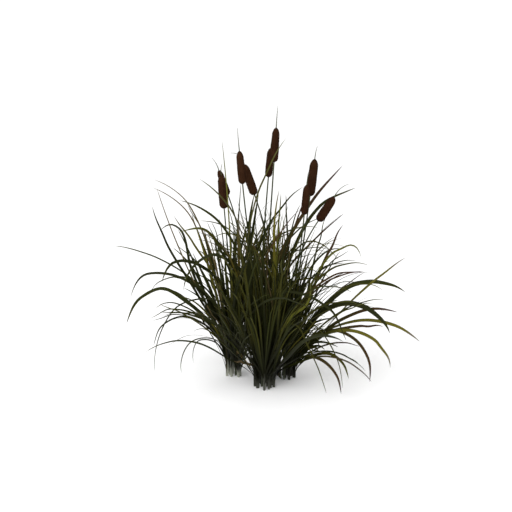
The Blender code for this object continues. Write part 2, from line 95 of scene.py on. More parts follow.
# %% One class for sums
class Value:
    """An output socket that can be used in sums."""

    def __init__(self, graph, socket):
        self.graph = graph
        self.socket = socket

    def __add__(self, other):
        return self.graph.sum("ADD", self, other)

    def __radd__(self, other):
        return self.graph.sum("ADD", other, self)

    def __sub__(self, other):
        return self.graph.sum("SUBTRACT", self, other)

    def __rsub__(self, other):
        return self.graph.sum("SUBTRACT", other, self)

    def __mul__(self, other):
        return self.graph.sum("MULTIPLY", self, other)

    def __rmul__(self, other):
        return self.graph.sum("MULTIPLY", other, self)

    def output(self, name):
        """Another output of the same node."""
        return Value(self.graph, socket_called(self.socket.node.outputs, name))


def socket_called(sockets, name):
    for socket in sockets:
        if socket.enabled and name in (socket.name, socket.identifier):
            return socket
    raise KeyError(f"no socket called {name}")


print("sums with sockets:", [name.strip("_") for name in vars(Value) if name.startswith("__r")])

# %% [markdown]
# ## A whole tree by calls
# Every node that isn't a sum goes through one method, which takes its kind, its settings and then the
# values or links of its inputs. The settings come first, because some of them change which inputs a
# node has. A few kinds that come back often, such as noise and a ramp of colours, get a short name.

# %% One class for a whole tree


class Graph:
    """A node tree that is built by calls."""

    def __init__(self, tree):
        self.tree = tree

    def node(self, kind, settings=None, **inputs):
        """Adds a node and returns its first output. An underscore in an input's name is a space."""
        node = self.tree.nodes.new(kind)
        settings = dict(settings or {})
        for position, colour in settings.pop("stops", ()):
            self.add_stop(node.color_ramp, position, colour)
        for name, value in settings.items():
            setattr(node, name, value)
        for name, value in inputs.items():
            socket = socket_called(node.inputs, name.replace("_", " "))
            for one in value if isinstance(value, list) else [value]:
                if isinstance(one, Value):
                    self.tree.links.new(one.socket, socket)
                else:
                    socket.default_value = one
        shown = [socket for socket in node.outputs if socket.enabled]
        return Value(self, shown[0]) if shown else node

    def add_stop(self, ramp, position, colour):
        """Sets the next stop of a ramp that starts with stops at 0 and 1."""
        if position == 0.0:
            stop = ramp.elements[0]
        elif position == 1.0:
            stop = ramp.elements[-1]
        else:
            stop = ramp.elements.new(position)
        stop.color = (*colour, 1.0)

    def sum(self, operation, *terms):
        node = self.tree.nodes.new("ShaderNodeMath")
        node.operation = operation
        for socket, term in zip(node.inputs, terms):
            if isinstance(term, Value):
                self.tree.links.new(term.socket, socket)
            else:
                socket.default_value = term
        return Value(self, node.outputs[0])

    def smooth_step(self, value, low, high):
        """0 below low, 1 above high, and a smooth rise between them."""
        settings = {"interpolation_type": "SMOOTHSTEP"}
        return self.node("ShaderNodeMapRange", settings, Value=value, From_Min=low, From_Max=high)

    def ramp(self, value, *stops):
        return self.node("ShaderNodeValToRGB", {"stops": stops}, Fac=value)

    def blend(self, share, first, second, mode="MIX"):
        """Mixes two colours."""
        settings = {"data_type": "RGBA", "blend_type": mode}
        return self.node("ShaderNodeMix", settings, Factor=share, A=first, B=second)

    def place(self, x=0.0, y=0.0, z=0.0):
        return self.node("ShaderNodeCombineXYZ", X=x, Y=y, Z=z)

    def noise(self, vector, scale, detail=3.0, roughness=0.5):
        sizes = {"Scale": scale, "Detail": detail, "Roughness": roughness}
        return self.node("ShaderNodeTexNoise", {}, Vector=vector, **sizes)


print("calls that add nodes:", [name for name in vars(Graph) if not name.startswith("_")])

# %% [markdown]
# ## Reading paths from the solids
# A leaf blade in the frame is a run of three-cornered rings: two edges and a keel. A stem is a run of
# round ones. The triangles come loose, so a merged copy is made first. From a blade's tip, the next
# ring is always every neighbour that hasn't been visited, which turns the skin back into a path.

# %% Walk over a solid, ring by ring
MERGE_DISTANCE = 0.00001


def merged_mesh(node):
    """A copy of a frame node's mesh with its loose triangles joined."""
    bm = bmesh.new()
    bm.from_mesh(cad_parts[node].data)
    bmesh.ops.remove_doubles(bm, verts=bm.verts, dist=MERGE_DISTANCE)
    bm.verts.index_update()
    return bm


def rings_from(start, size):
    """Rings of that many points, each one step further over the mesh, and the points after them."""
    visited = set(start)
    rings = []
    ring = set(start)
    while True:
        ring = {edge.other_vert(vert) for vert in ring for edge in vert.link_edges} - visited
        visited |= ring
        if len(ring) != size:
            return rings, ring
        rings.append([vert.co.copy() for vert in sorted(ring, key=lambda vert: vert.index)])


def middle_of(ring):
    return sum(ring, Vector()) / len(ring)


def names_of(kind):
    return sorted(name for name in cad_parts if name.startswith(kind))


print({kind: len(names_of(kind)) for kind in ("stem", "seed_head", "spike_tip", "leaf_fan")})

# %% [markdown]
# ## Smooth paths
# The frame has only a few stations on each leaf. A real leaf bends without corners, so a smooth curve
# goes through them, with the same rule for its slopes at every station.

# %% A smooth curve through a few stations


def smooth_curve(points, count):
    """Evenly spaced points on one smooth curve through a few given ones."""
    points = np.array(points, float)
    gaps = np.linalg.norm(np.diff(points, axis=0), axis=1)
    knots = np.concatenate([[0.0], np.cumsum(gaps)])
    slopes = np.gradient(points, knots, axis=0, edge_order=2)
    along = np.linspace(0.0, knots[-1], count)
    k = np.clip(np.searchsorted(knots, along, side="right") - 1, 0, len(gaps) - 1)
    gap = gaps[k][:, None]
    t = (along[:, None] - knots[k][:, None]) / gap
    start = (2 * t**3 - 3 * t**2 + 1) * points[k] + (t**3 - 2 * t**2 + t) * gap * slopes[k]
    end = (3 * t**2 - 2 * t**3) * points[k + 1] + (t**3 - t**2) * gap * slopes[k + 1]
    return start + end


def directions(points):
    """The direction of travel at each point."""
    steps = np.gradient(points, axis=0)
    return steps / np.linalg.norm(steps, axis=1)[:, None]


def length_shares(points):
    """How far along the run each point is: 0 at its foot and 1 at its end."""
    steps = np.linalg.norm(np.diff(points, axis=0), axis=1)
    return np.concatenate([[0.0], np.cumsum(steps)]) / steps.sum()


quarter = [(math.cos(angle), math.sin(angle), 0.0) for angle in np.linspace(0.0, math.pi / 2, 4)]
reaches = np.linalg.norm(smooth_curve(quarter, 30), axis=1)
print("a quarter circle through four points is off by", round(100 * np.abs(reaches - 1).max(), 1), "%")

# %% [markdown]
# ## The shape of a blade
# A cattail leaf is narrow where it leaves its sheath and widest about a third of the way up. The
# frame's blades taper evenly from there. A real one keeps its width for longer, then narrows quickly,
# and the withered end of its tip wavers. Both shapes are needed: the first reads a blade's width back
# from the frame's rings, the second draws the leaf.

# %% The shape of a blade
BLADE_FOOT_SHARE = 0.45
BLADE_WIDEST_AT = 0.36
FRAME_TAPER_POWER = 0.6
BLADE_HOLD = 3.4
WAVE_FROM = 0.80
WAVE_REACH = 0.0045
WAVE_STEP = 7.0


def blade_rise(shares):
    """How a blade widens from its foot to its widest place."""
    rise = np.sin(0.5 * math.pi * np.minimum(shares / BLADE_WIDEST_AT, 1.0))
    return BLADE_FOOT_SHARE + (1 - BLADE_FOOT_SHARE) * rise


def frame_shape(shares):
    """Half a frame blade's width along it, where its widest place is 1."""
    left = np.clip((1 - shares) / (1 - BLADE_WIDEST_AT), 0.0, 1.0)
    return blade_rise(shares) * left**FRAME_TAPER_POWER


def blade_shape(shares, hold=BLADE_HOLD):
    """The same for a real blade. The higher its hold, the longer it keeps its width."""
    past = np.clip((shares - BLADE_WIDEST_AT) / (1 - BLADE_WIDEST_AT), 0.0, 1.0)
    return blade_rise(shares) * (1 - past**hold)


def tip_wave(shares, slot):
    """How far a withered tip wavers sideways. The tip itself stays where the frame has it."""
    past = np.clip((shares - WAVE_FROM) / (1 - WAVE_FROM), 0.0, 1.0)
    return WAVE_REACH * np.sin(2 * math.pi * past) * np.cos(WAVE_STEP * slot)


for shape in (frame_shape, blade_shape):
    print(shape.__name__, "from foot to tip:", np.round(shape(np.linspace(0.0, 1.0, 6)), 2))

# %% [markdown]
# ## A blade from its rings
# The rings of a blade say where it runs, how wide it is and which way it lies flat. They are read from
# the tip down. Then the blade is carried to the ground in its own place in the sheath, and a smooth
# curve goes through all its stations. Most real blades are narrower than the frame's, so they are
# drawn at a share of its width.

# %% Read a blade and finish it
BLADE_STATIONS = 42
BLADE_FULLNESS = 0.68
FOOT_PITCH = 0.0028
FOOT_RISE = 0.012


def ring_facts(ring, forward):
    """The middle of a blade's ring, half its width, and its flat direction, keel side down."""
    pairs = [(ring[0], ring[1], ring[2]), (ring[1], ring[2], ring[0]), (ring[2], ring[0], ring[1])]
    left, right, keel = max(pairs, key=lambda three: (three[0] - three[1]).length)
    middle = (left + right) / 2
    flat = (left - right).normalized()
    if forward.cross(flat).dot(keel - middle) > 0:
        flat = -flat
    return middle, (left - right).length / 2, flat


def read_blade(fan, tip, rings, after):
    """Keeps the tip, the facts of each ring from the foot up, and where the blade leaves the sheath."""
    stations = [tip]
    facts = []
    for ring in rings:
        forward = stations[-1] - middle_of(ring)
        facts.append(ring_facts(ring, forward))
        stations.append(facts[-1][0])
    leaves_at = middle_of(after) if after else facts[-1][0]
    offset = float(np.dot(np.array(leaves_at) - fan.middle, fan.stack))
    facts.reverse()
    fan.blades.append({"tip": tip, "facts": facts, "offset": offset})


def finish_blade(fan, blade, slot):
    """Carries the blade down to the ground in its own place in the sheath."""
    foot = fan.middle + slot * FOOT_PITCH * fan.stack
    rise = foot + (0.0, 0.0, FOOT_RISE)
    stations = [foot, rise, *[fact[0] for fact in blade["facts"]], blade["tip"]]
    fine = smooth_curve(stations, BLADE_STATIONS)
    knots = length_shares(np.array(stations, float))
    first_flat = np.array(blade["facts"][0][2])
    foot_flat = fan.across * math.copysign(1.0, fan.across @ first_flat)
    flats = [foot_flat, foot_flat, *[fact[2] for fact in blade["facts"]], blade["facts"][-1][2]]
    flats = np.array(flats)
    shares = length_shares(fine)
    flat = np.stack([np.interp(shares, knots, flats[:, axis]) for axis in range(3)], axis=1)
    widths = [fact[1] / frame_shape(share) for fact, share in zip(blade["facts"], knots[2:-1])]
    blade["points"] = fine + tip_wave(shares, slot)[:, None] * flat
    blade["flat"] = flat
    blade["half_width"] = BLADE_FULLNESS * float(np.median(widths))
    blade["slot"] = slot


print("each blade gets", BLADE_STATIONS, "stations, and leaves stand", 1000 * FOOT_PITCH, "mm apart")

# %% [markdown]
# ## The leaf fans
# At the ground the leaves of one shoot clasp each other in a flat sheath, like a folded fan. The
# sheath's foot is an oval, and its long axis is the row in which the leaves stand. A blade is found by
# its tip, the only place away from the sheath where just three edges meet.

# %% Read the fans
FLAT_FOOT = 0.0005
FEWEST_RINGS = 2
CLEAR_OF_SHEATH = 0.02
SHEATH_REACH = 0.07


class Fan:
    """A leaf fan as the frame has it: its oval foot and its blades."""

    def __init__(self, node):
        bm = merged_mesh(node)
        self.node = node
        self.number = int(node[-2:])
        foot = np.array([vert.co for vert in bm.verts if vert.co.z < FLAT_FOOT])
        self.middle = foot.mean(axis=0)
        spread = np.linalg.svd(foot - self.middle)[2]
        self.stack = spread[0] * math.copysign(1.0, spread[0][0])
        self.across = np.cross((0.0, 0.0, 1.0), self.stack)
        self.half_length = np.abs((foot - self.middle) @ self.stack).max()
        self.half_width = np.abs((foot - self.middle) @ self.across).max()
        self.blades = []
        for tip in [vert for vert in bm.verts if len(vert.link_edges) == 3]:
            if np.linalg.norm(np.array(tip.co - Vector(self.middle))[:2]) < CLEAR_OF_SHEATH:
                continue
            rings, after = rings_from([tip], 3)
            if len(rings) >= FEWEST_RINGS:
                read_blade(self, tip.co.copy(), rings, [vert.co for vert in after])
        near = [vert.co for vert in bm.verts if (vert.co - Vector(self.middle)).length < SHEATH_REACH]
        self.height = max(place.z for place in near)
        bm.free()
        self.blades.sort(key=lambda blade: blade["offset"])
        for slot, blade in enumerate(self.blades):
            finish_blade(self, blade, slot - 0.5 * (len(self.blades) - 1))


fans = [Fan(node) for node in names_of("leaf_fan")]
print(sum(len(fan.blades) for fan in fans), "blades in", len(fans), "fans")
print("half widths, mm:", np.round([1000 * fan.blades[0]["half_width"] for fan in fans[:6]], 1))


# %% [markdown]
# ## Places in the view
# Some leaves are known only by where they are seen. Such a place is given as metres to the right and
# up from the middle of the view, measured at the distance of the clump. One helper leads from points
# of the clump to their places in the view, the other back from a place to the point at a chosen depth.

# %% From a point to its place in the view, and back


def seen_places(points):
    """The (right, up) place at which each point is seen, in metres from the middle of the view."""
    away = points - np.array(camera.location)
    scale = VIEW_DISTANCE / (away @ np.array(view_forward))
    return away[:, 0] * scale, (away @ np.array(view_up)) * scale


def point_behind(place, back):
    """The point at depth y = back that is seen at this (right, up) place."""
    ray = VIEW_DISTANCE * view_forward + place[0] * view_right + place[1] * view_up
    return np.array(camera.location + ray * (back - camera.location.y) / ray.y)


there = point_behind((0.3, 0.2), 0.1)
print("a place at", there.round(3), "is seen at", np.round(seen_places(there[None]), 3).ravel())

# %% [markdown]
# ## Leaves seen in the photograph
# Some leaves stand out: wide dark arches, golden ones, brown ones whose tips have died back. They are
# known by where their tips are seen, and each gets its colour and a width of its own. They are the
# grown leaves of the clump, so they are fuller than the rest and keep their width for longer. Blades
# that lean towards the camera are made narrower, because close by they would hide the others.

# %% Leaves of the frame that stand out
LOOKS = {"dark": 0.10, "green": 0.30, "olive": 0.46, "gold": 0.62, "brown": 0.76, "lime": 0.96}
LOOK_WIDTHS = {"lime": 0.75, "gold": 0.92, "brown": 0.92, "olive": 1.10, "dark": 1.05}
STRAW_LOOK = 0.7
STRAW_DRYNESS = 0.95
FRESH_DRYNESS = 0.05
KNOWN_FULLNESS = 1.24
KNOWN_HOLD = 5.5
TIP_MATCH = 0.02
TOWARDS_CAMERA = -0.06
FRONT_FULLNESS = 0.80

# Where the tip is seen (right, up), the leaf's look, and how much wider it is than others of its look.
KNOWN_LOOKS = [
    ((-0.647, -0.337), "green", 0.85),
    ((-0.709, 0.051), "green", 0.55),
    ((-0.627, -0.206), "dark", 1.00),
    ((-0.471, -0.130), "dark", 1.00),
    ((-0.519, 0.248), "dark", 1.00),
    ((-0.485, 0.120), "dark", 1.00),
    ((-0.412, 0.203), "gold", 1.00),
    ((-0.386, 0.117), "olive", 1.00),
    ((-0.382, 0.278), "green", 1.00),
    ((-0.285, 0.387), "olive", 1.30),
    ((-0.170, 0.579), "lime", 1.25),
    ((-0.363, -0.175), "dark", 1.00),
    ((0.151, 0.590), "olive", 1.00),
    ((0.234, 0.344), "green", 1.00),
    ((0.222, 0.235), "brown", 1.00),
    ((0.433, 0.452), "brown", 1.00),
    ((0.162, 0.260), "lime", 1.00),
    ((0.125, 0.315), "lime", 1.00),
    ((0.498, 0.341), "green", 1.00),
    ((0.436, 0.156), "brown", 1.00),
    ((0.527, -0.012), "lime", 1.00),
    ((0.749, -0.007), "gold", 1.00),
    ((0.747, -0.181), "green", 1.00),
    ((0.549, -0.079), "brown", 0.60),
    ((0.670, -0.387), "dark", 1.00),
    ((0.707, -0.281), "brown", 1.00),
    ((0.819, -0.428), "gold", 1.00),
    ((0.636, -0.353), "brown", 1.00),
    ((0.672, -0.559), "gold", 1.00),
    ((0.568, -0.629), "brown", 1.00),
    ((0.426, -0.690), "brown", 1.00),
    ((0.463, -0.613), "olive", 1.00),
    ((0.450, -0.420), "dark", 0.75),
    ((-0.109, -0.525), "straw", 1.00),
]


def give_look(blade, look):
    """Fixes a blade's colour and how dry it is."""
    blade["seed"] = LOOKS.get(look, STRAW_LOOK)
    blade["dryness"] = STRAW_DRYNESS if look == "straw" else FRESH_DRYNESS


def dress_known(blade):
    """Gives a blade of the frame its look, if its tip is seen where a known leaf ends."""
    right, up = seen_places(np.array([blade["tip"]]))
    for place, look, wider in KNOWN_LOOKS:
        if math.dist((right[0], up[0]), place) < TIP_MATCH:
            give_look(blade, look)
            blade["half_width"] *= wider * LOOK_WIDTHS.get(look, 1.0) * KNOWN_FULLNESS / BLADE_FULLNESS
            blade["hold"] = KNOWN_HOLD
            return


for fan in fans:
    for blade in fan.blades:
        dress_known(blade)
        if "seed" not in blade and blade["tip"].y < TOWARDS_CAMERA:
            blade["half_width"] *= FRONT_FULLNESS
print(sum("seed" in blade for fan in fans for blade in fan.blades), "frame leaves known by their looks")

# %% [markdown]
# ## Thin leaves that the frame lacks
# The photograph has thin leaves of its own: dry ones at the upper left, dark ones over the flanks, a
# few dead ones at the foot. Each is a smooth curve through three places of the view that goes steadily
# to the depth of its tip. It grows from the shoot of its tuft that faces its way and isn't crowded.

# %% Thin leaves
TUFTS = {"left": (-0.145, 0.165), "middle": (0.018, 0.0), "right": (0.124, 0.130)}
TUFT_REACH = 0.06
CROWDED_BY = 0.02

# Tuft, three places on the way (right, up), how far back the tip stands (y), full width, look.
THIN_LEAVES = [
    ("left", (-0.255, 0.030), (-0.358, 0.238), (-0.514, 0.341), 0.20, 0.006, "straw"),
    ("left", (-0.270, 0.130), (-0.358, 0.285), (-0.506, 0.381), 0.30, 0.005, "straw"),
    ("left", (-0.360, -0.020), (-0.430, 0.150), (-0.494, 0.333), 0.26, 0.005, "straw"),
    ("left", (-0.155, -0.020), (-0.171, 0.126), (-0.183, 0.186), 0.02, 0.007, "green"),
    ("left", (-0.187, 0.000), (-0.199, 0.118), (-0.223, 0.170), 0.06, 0.007, "green"),
    ("left", (-0.250, -0.200), (-0.332, 0.017), (-0.390, 0.132), 0.22, 0.009, "dark"),
    ("left", (-0.238, -0.225), (-0.348, -0.020), (-0.417, 0.043), 0.26, 0.011, "dark"),
    ("left", (-0.217, -0.199), (-0.265, -0.094), (-0.317, 0.017), 0.18, 0.010, "green"),
    ("left", (-0.212, -0.094), (-0.270, 0.127), (-0.343, 0.264), 0.28, 0.008, "olive"),
    ("left", (-0.243, -0.041), (-0.296, 0.132), (-0.322, 0.206), 0.14, 0.008, "gold"),
    ("left", (-0.225, -0.215), (-0.290, -0.150), (-0.412, -0.107), 0.12, 0.011, "dark"),
    ("left", (-0.243, -0.250), (-0.306, -0.146), (-0.364, -0.072), 0.16, 0.012, "dark"),
    ("left", (-0.190, -0.150), (-0.230, 0.020), (-0.262, 0.140), 0.24, 0.009, "green"),
    ("right", (0.170, -0.050), (0.290, 0.080), (0.438, 0.211), 0.30, 0.009, "brown"),
    ("right", (0.160, -0.020), (0.250, 0.070), (0.412, -0.018), 0.24, 0.008, "olive"),
    ("right", (0.150, 0.020), (0.205, 0.180), (0.255, 0.320), 0.24, 0.010, "brown"),
    ("left", (-0.250, -0.235), (-0.305, -0.190), (-0.360, -0.160), 0.24, 0.009, "dark"),
    ("left", (-0.230, -0.220), (-0.280, -0.160), (-0.350, -0.100), 0.28, 0.008, "green"),
    ("left", (-0.260, -0.270), (-0.315, -0.225), (-0.390, -0.200), 0.20, 0.009, "olive"),
    ("left", (-0.100, 0.055), (-0.088, 0.190), (-0.076, 0.360), 0.20, 0.007, "green"),
    ("right", (0.220, -0.345), (0.310, -0.260), (0.410, -0.220), 0.16, 0.012, "dark"),
    ("right", (0.210, -0.395), (0.300, -0.330), (0.390, -0.310), 0.10, 0.012, "dark"),
    ("right", (0.220, -0.470), (0.310, -0.430), (0.410, -0.455), 0.02, 0.012, "dark"),
    ("middle", (-0.036, 0.000), (-0.027, 0.210), (-0.008, 0.312), -0.04, 0.022, "dark"),
    ("middle", (-0.026, 0.060), (-0.004, 0.205), (0.014, 0.322), 0.02, 0.017, "dark"),
    ("middle", (0.091, 0.032), (0.091, 0.150), (0.115, 0.328), -0.05, 0.013, "gold"),
    ("middle", (0.180, -0.300), (0.255, -0.240), (0.270, -0.130), -0.22, 0.012, "lime"),
    ("left", (-0.090, -0.480), (-0.065, -0.510), (-0.020, -0.565), -0.02, 0.010, "straw"),
]
THIN_SHARES = (0.40, 0.72, 1.0)


def facing_fan(middle, way):
    """The fan of a tuft that stands furthest that way and has few leaves of its own yet."""
    way = way * (1, 1, 0)
    way = way / np.linalg.norm(way)
    ready = [fan for fan in fans if np.linalg.norm(fan.middle - middle) < TUFT_REACH]
    return max(ready, key=lambda fan: (fan.middle - middle) @ way - CROWDED_BY * len(fan.young))


def thin_leaf(tuft, first, second, last, back, width, look):
    """A leaf through three places of the view, grown from the fan of its tuft that faces its way."""
    middle = np.array((*TUFTS[tuft], 0.0))
    fan = facing_fan(middle, point_behind(last, back) - middle)
    stations = [fan.middle, fan.middle + (0.0, 0.0, FOOT_RISE)]
    for place, share in zip((first, second, last), THIN_SHARES):
        stations.append(point_behind(place, fan.middle[1] + share * (back - fan.middle[1])))
    points = smooth_curve(stations, BLADE_STATIONS)
    forward = directions(points)
    flat = np.cross(forward, np.array(view_forward))
    flat /= np.linalg.norm(flat, axis=1)[:, None]
    blade = {"points": points, "flat": flat, "half_width": width / 2, "slot": 1.0}
    give_look(blade, look)
    fan.young.append(blade)


for fan in fans:
    fan.young = []
for row in THIN_LEAVES:
    thin_leaf(*row)
print(sum(len(fan.young) for fan in fans), "thin leaves added")

# %% [markdown]
# ## More leaves than the frame holds
# The frame stops at six blades a fan. A real fan also has younger, narrower leaves between the old
# ones. Each is drawn as a mix of two blades of its own fan, so it bows the way its neighbours do, and
# every step of it is then turned some way towards upright, because younger leaves stand straighter.

# %% Draw a younger leaf
# Lengths and widths are shares of the older leaves', turns are in radians, and the foot in metres.
LEAF_SEED = 23
YOUNG_MIX = (-0.45, 1.45)
YOUNG_LENGTH = (0.60, 1.22)
YOUNG_WIDTH = (0.55, 0.95)
YOUNG_TURN = math.radians(9)
YOUNG_UPRIGHT = (0.05, 0.60)
FRONT_UPRIGHT = 0.45
YOUNG_FOOT = 0.006
YOUNG_SIDEWAYS = 0.4
YOUNG_TWIST = 0.6


def square_to(forward, flat):
    """The flat direction made square to the direction of travel."""
    flat = flat - (flat * forward).sum(axis=1)[:, None] * forward
    return flat / np.linalg.norm(flat, axis=1)[:, None]


def raised(points, share):
    """The same path from the origin, with every step turned by a share of the way to upright."""
    steps = np.diff(points, axis=0)
    lengths = np.linalg.norm(steps, axis=1)[:, None]
    steps = (1 - share) * steps + share * lengths * np.array((0.0, 0.0, 1.0))
    steps *= lengths / np.linalg.norm(steps, axis=1)[:, None]
    return np.concatenate([np.zeros((1, 3)), np.cumsum(steps, axis=0)])


def turned(points, angle):
    """The same points, turned about the upright through the origin."""
    cosine, sine = math.cos(angle), math.sin(angle)
    return points @ np.array(((cosine, sine, 0.0), (-sine, cosine, 0.0), (0.0, 0.0, 1.0)))


def young_leaf(fan, rng):
    """One drawn leaf of a fan."""
    first, second = rng.choice(len(fan.blades), 2, replace=False)
    mix = rng.uniform(*YOUNG_MIX)
    first, second = fan.blades[first], fan.blades[second]
    foot = (1 - mix) * first["points"][0] + mix * second["points"][0]
    paths = [leaf["points"] - leaf["points"][0] for leaf in (first, second)]
    shape = (1 - mix) * paths[0] + mix * paths[1]
    longest = max(np.linalg.norm(path[-1]) for path in paths)
    shape *= rng.uniform(*YOUNG_LENGTH) * min(1.0, longest / np.linalg.norm(shape[-1]))
    shape = turned(shape, rng.uniform(-YOUNG_TURN, YOUNG_TURN))
    upright = rng.uniform(*YOUNG_UPRIGHT)
    shape = raised(shape, max(upright, FRONT_UPRIGHT) if shape[-1][1] < 0 else upright)
    sideways = rng.uniform(-1.0, 1.0) * YOUNG_SIDEWAYS * fan.half_width * fan.across
    foot = fan.middle + np.clip((foot - fan.middle) @ fan.stack, -YOUNG_FOOT, YOUNG_FOOT) * fan.stack
    flat = (1 - mix) * first["flat"] + mix * second["flat"]
    flat = square_to(directions(shape), turned(flat, rng.uniform(-YOUNG_TWIST, YOUNG_TWIST)))
    width = min(first["half_width"], second["half_width"]) * rng.uniform(*YOUNG_WIDTH)
    return {"points": foot + sideways + shape, "flat": flat, "half_width": width, "slot": mix - 0.5}


sample = young_leaf(fans[0], np.random.default_rng(LEAF_SEED))
print("a drawn leaf spans", round(1000 * np.linalg.norm(np.ptp(sample["points"], axis=0))), "mm")

# %% [markdown]
# ## Room for a younger leaf
# A drawn leaf is kept only where it bends gently, stays off the ground and inside the frame's box,
# keeps to the round crown that the photograph shows, and touches no other leaf above the sheaths. For
# the last test the leaves become flat bands in search trees, which find crossing faces quickly.

# %% Tests for a drawn leaf
# Lengths, depths and places in the view are in metres.
TIGHTEST_BEND = math.radians(11)
TIP_HALF_WIDTH = 0.0011
CROWN_MIDDLE = (0.015, -0.60)
CROWN_HALF_WIDTH = 0.355
CROWN_HEIGHT = 0.87
CROWN_NEAREST = -0.36
CROWN_FARTHEST = 0.56
YOUNG_TIP_HEIGHT = 0.22
FLOOR_ROOM = 0.005
BOX_ROOM = 0.006
EDGE_DIP = 0.7
RIBBON_START = 5


def ribbon(blade):
    """A blade's flat band above its sheath, as points and faces for the room test."""
    points = blade["points"][RIBBON_START:]
    shares = length_shares(blade["points"])[RIBBON_START:]
    half_width = blade["half_width"] * blade_shape(shares) + TIP_HALF_WIDTH
    reach = half_width[:, None] * blade["flat"][RIBBON_START:]
    corners = np.concatenate([points + reach, points - reach])
    count = len(points)
    faces = [(i, i + 1, count + i + 1, count + i) for i in range(count - 1)]
    return corners, faces


def tree_of(bands):
    """One search tree for several ribbons."""
    corners = []
    faces = []
    for more_corners, more_faces in bands:
        faces += [tuple(i + len(corners) for i in face) for face in more_faces]
        corners += [Vector(corner) for corner in more_corners]
    return BVHTree.FromPolygons(corners, faces)


def in_crown(points):
    """Whether a leaf keeps to the crown: an ellipse as the camera sees it, and its depth."""
    right, up = seen_places(points)
    wide = (right - CROWN_MIDDLE[0]) / CROWN_HALF_WIDTH
    high = (up - CROWN_MIDDLE[1]) / CROWN_HEIGHT
    deep = CROWN_NEAREST <= points[:, 1].min() and points[:, 1].max() <= CROWN_FARTHEST
    return deep and (wide**2 + high**2).max() <= 1


def keeps_inside(leaf):
    """Whether a drawn leaf keeps to its bounds."""
    points = leaf["points"]
    forward = directions(points)
    bends_gently = (forward[1:] * forward[:-1]).sum(axis=1).min() >= math.cos(TIGHTEST_BEND)
    if not bends_gently or not in_crown(points):
        return False
    wide = leaf["half_width"]
    low = np.array(cad_low) + BOX_ROOM + wide * np.array((1, 1, 0))
    high = np.array(cad_high) - BOX_ROOM - wide
    above = points[RIBBON_START:]
    off_floor = above[:, 2].min() > FLOOR_ROOM + EDGE_DIP * wide and points[-1, 2] > YOUNG_TIP_HEIGHT
    return bool(off_floor and (above[:, :2] > low[:2]).all() and (points < high).all())


print("a drawn leaf keeps to its bounds:", keeps_inside(sample))

# %% [markdown]
# ## Growing the younger leaves
# The fans take turns, so that none takes all the room. At its turn a fan draws leaf after leaf until
# one keeps to its bounds and clear of every leaf that stands already, or until it has tried often
# enough. A fixed seed makes the draws come out the same each time.

# %% Grow the younger leaves
YOUNG_PER_FAN = 14
YOUNG_TRIES = 160

rng = np.random.default_rng(LEAF_SEED)
for fan in fans:
    fan.tree = tree_of([ribbon(blade) for blade in fan.blades + fan.young])
for _ in range(YOUNG_PER_FAN):
    for fan in fans:
        for _ in range(YOUNG_TRIES):
            leaf = young_leaf(fan, rng)
            if not keeps_inside(leaf):
                continue
            tree = tree_of([ribbon(leaf)])
            if any(other.tree.overlap(tree) for other in fans):
                continue
            fan.young.append(leaf)
            fan.tree = tree_of([ribbon(blade) for blade in fan.blades + fan.young])
            break
print(sum(len(fan.young) for fan in fans), "leaves more than the frame has")

# %% [markdown]
# ## Growing surfaces along paths
# A path becomes a mesh of edges whose points carry numbers: half the width there, which way is flat,
# how far along it is. A Geometry Nodes tree sweeps a section along all of them at once. The result
# is turned into a plain mesh, so that nothing live is left on the finished piece.

# %% From a path to a piece
SMOOTH_ANGLE = math.radians(50)


def guide_object(name, runs):
    """A mesh of open edge chains. Each run gives its points, and a number or vector for each point."""
    mesh = bpy.data.meshes.new(name)
    points = np.concatenate([run["points"] for run in runs])
    starts = np.cumsum([0] + [len(run["points"]) for run in runs])
    edges = [(i, i + 1) for low, high in zip(starts, starts[1:]) for i in range(low, high - 1)]
    mesh.from_pydata([tuple(point) for point in points], edges, [])
    for key in runs[0]:
        if key == "points":
            continue
        values = np.concatenate([run[key] for run in runs])
        kind, word = ("FLOAT_VECTOR", "vector") if values.ndim == 2 else ("FLOAT", "value")
        mesh.attributes.new(key, kind, "POINT").data.foreach_set(word, values.ravel())
    guide = bpy.data.objects.new(name, mesh)
    scene.collection.objects.link(guide)
    return guide


def grown(name, guide, tree, material):
    """Runs a tree on a guide, and keeps the result as a plain mesh object at the origin."""
    modifier = guide.modifiers.new("grow", "NODES")
    modifier.node_group = tree
    paint = next(item for item in tree.interface.items_tree if item.name == "Material")
    modifier[paint.identifier] = material
    view = bpy.context.evaluated_depsgraph_get()
    mesh = bpy.data.meshes.new_from_object(guide.evaluated_get(view), depsgraph=view)
    mesh.name = name
    mesh.set_sharp_from_angle(angle=SMOOTH_ANGLE)
    piece = bpy.data.objects.new(name, mesh)
    scene.collection.objects.link(piece)
    bpy.data.objects.remove(guide, do_unlink=True)
    return piece


print("edges up to", round(math.degrees(SMOOTH_ANGLE)), "degrees are shaded smooth")

# %% [markdown]
# ## What every tree needs
# The trees of the leaves, the stems and the heads begin and end alike. They have named inputs for their
# sizes, sweep a section along the guide at the width and the turn that its points carry, and end by
# making instances real and setting the material.

# %% Helpers for Geometry Nodes trees


def new_tree(name, sizes):
    """A Geometry Nodes graph with a named input for each size and for the material."""
    tree = bpy.data.node_groups.new(name, "GeometryNodeTree")
    tree.interface.new_socket("Geometry", in_out="OUTPUT", socket_type="NodeSocketGeometry")
    tree.interface.new_socket("Geometry", in_out="INPUT", socket_type="NodeSocketGeometry")
    for label, value in sizes.items():
        kind = "NodeSocketInt" if isinstance(value, int) else "NodeSocketFloat"
        tree.interface.new_socket(label, in_out="INPUT", socket_type=kind).default_value = value
    tree.interface.new_socket("Material", in_out="INPUT", socket_type="NodeSocketMaterial")
    graph = Graph(tree)
    inlet = tree.nodes.new("NodeGroupInput")
    return graph, {socket.name: Value(graph, socket) for socket in inlet.outputs if socket.name}


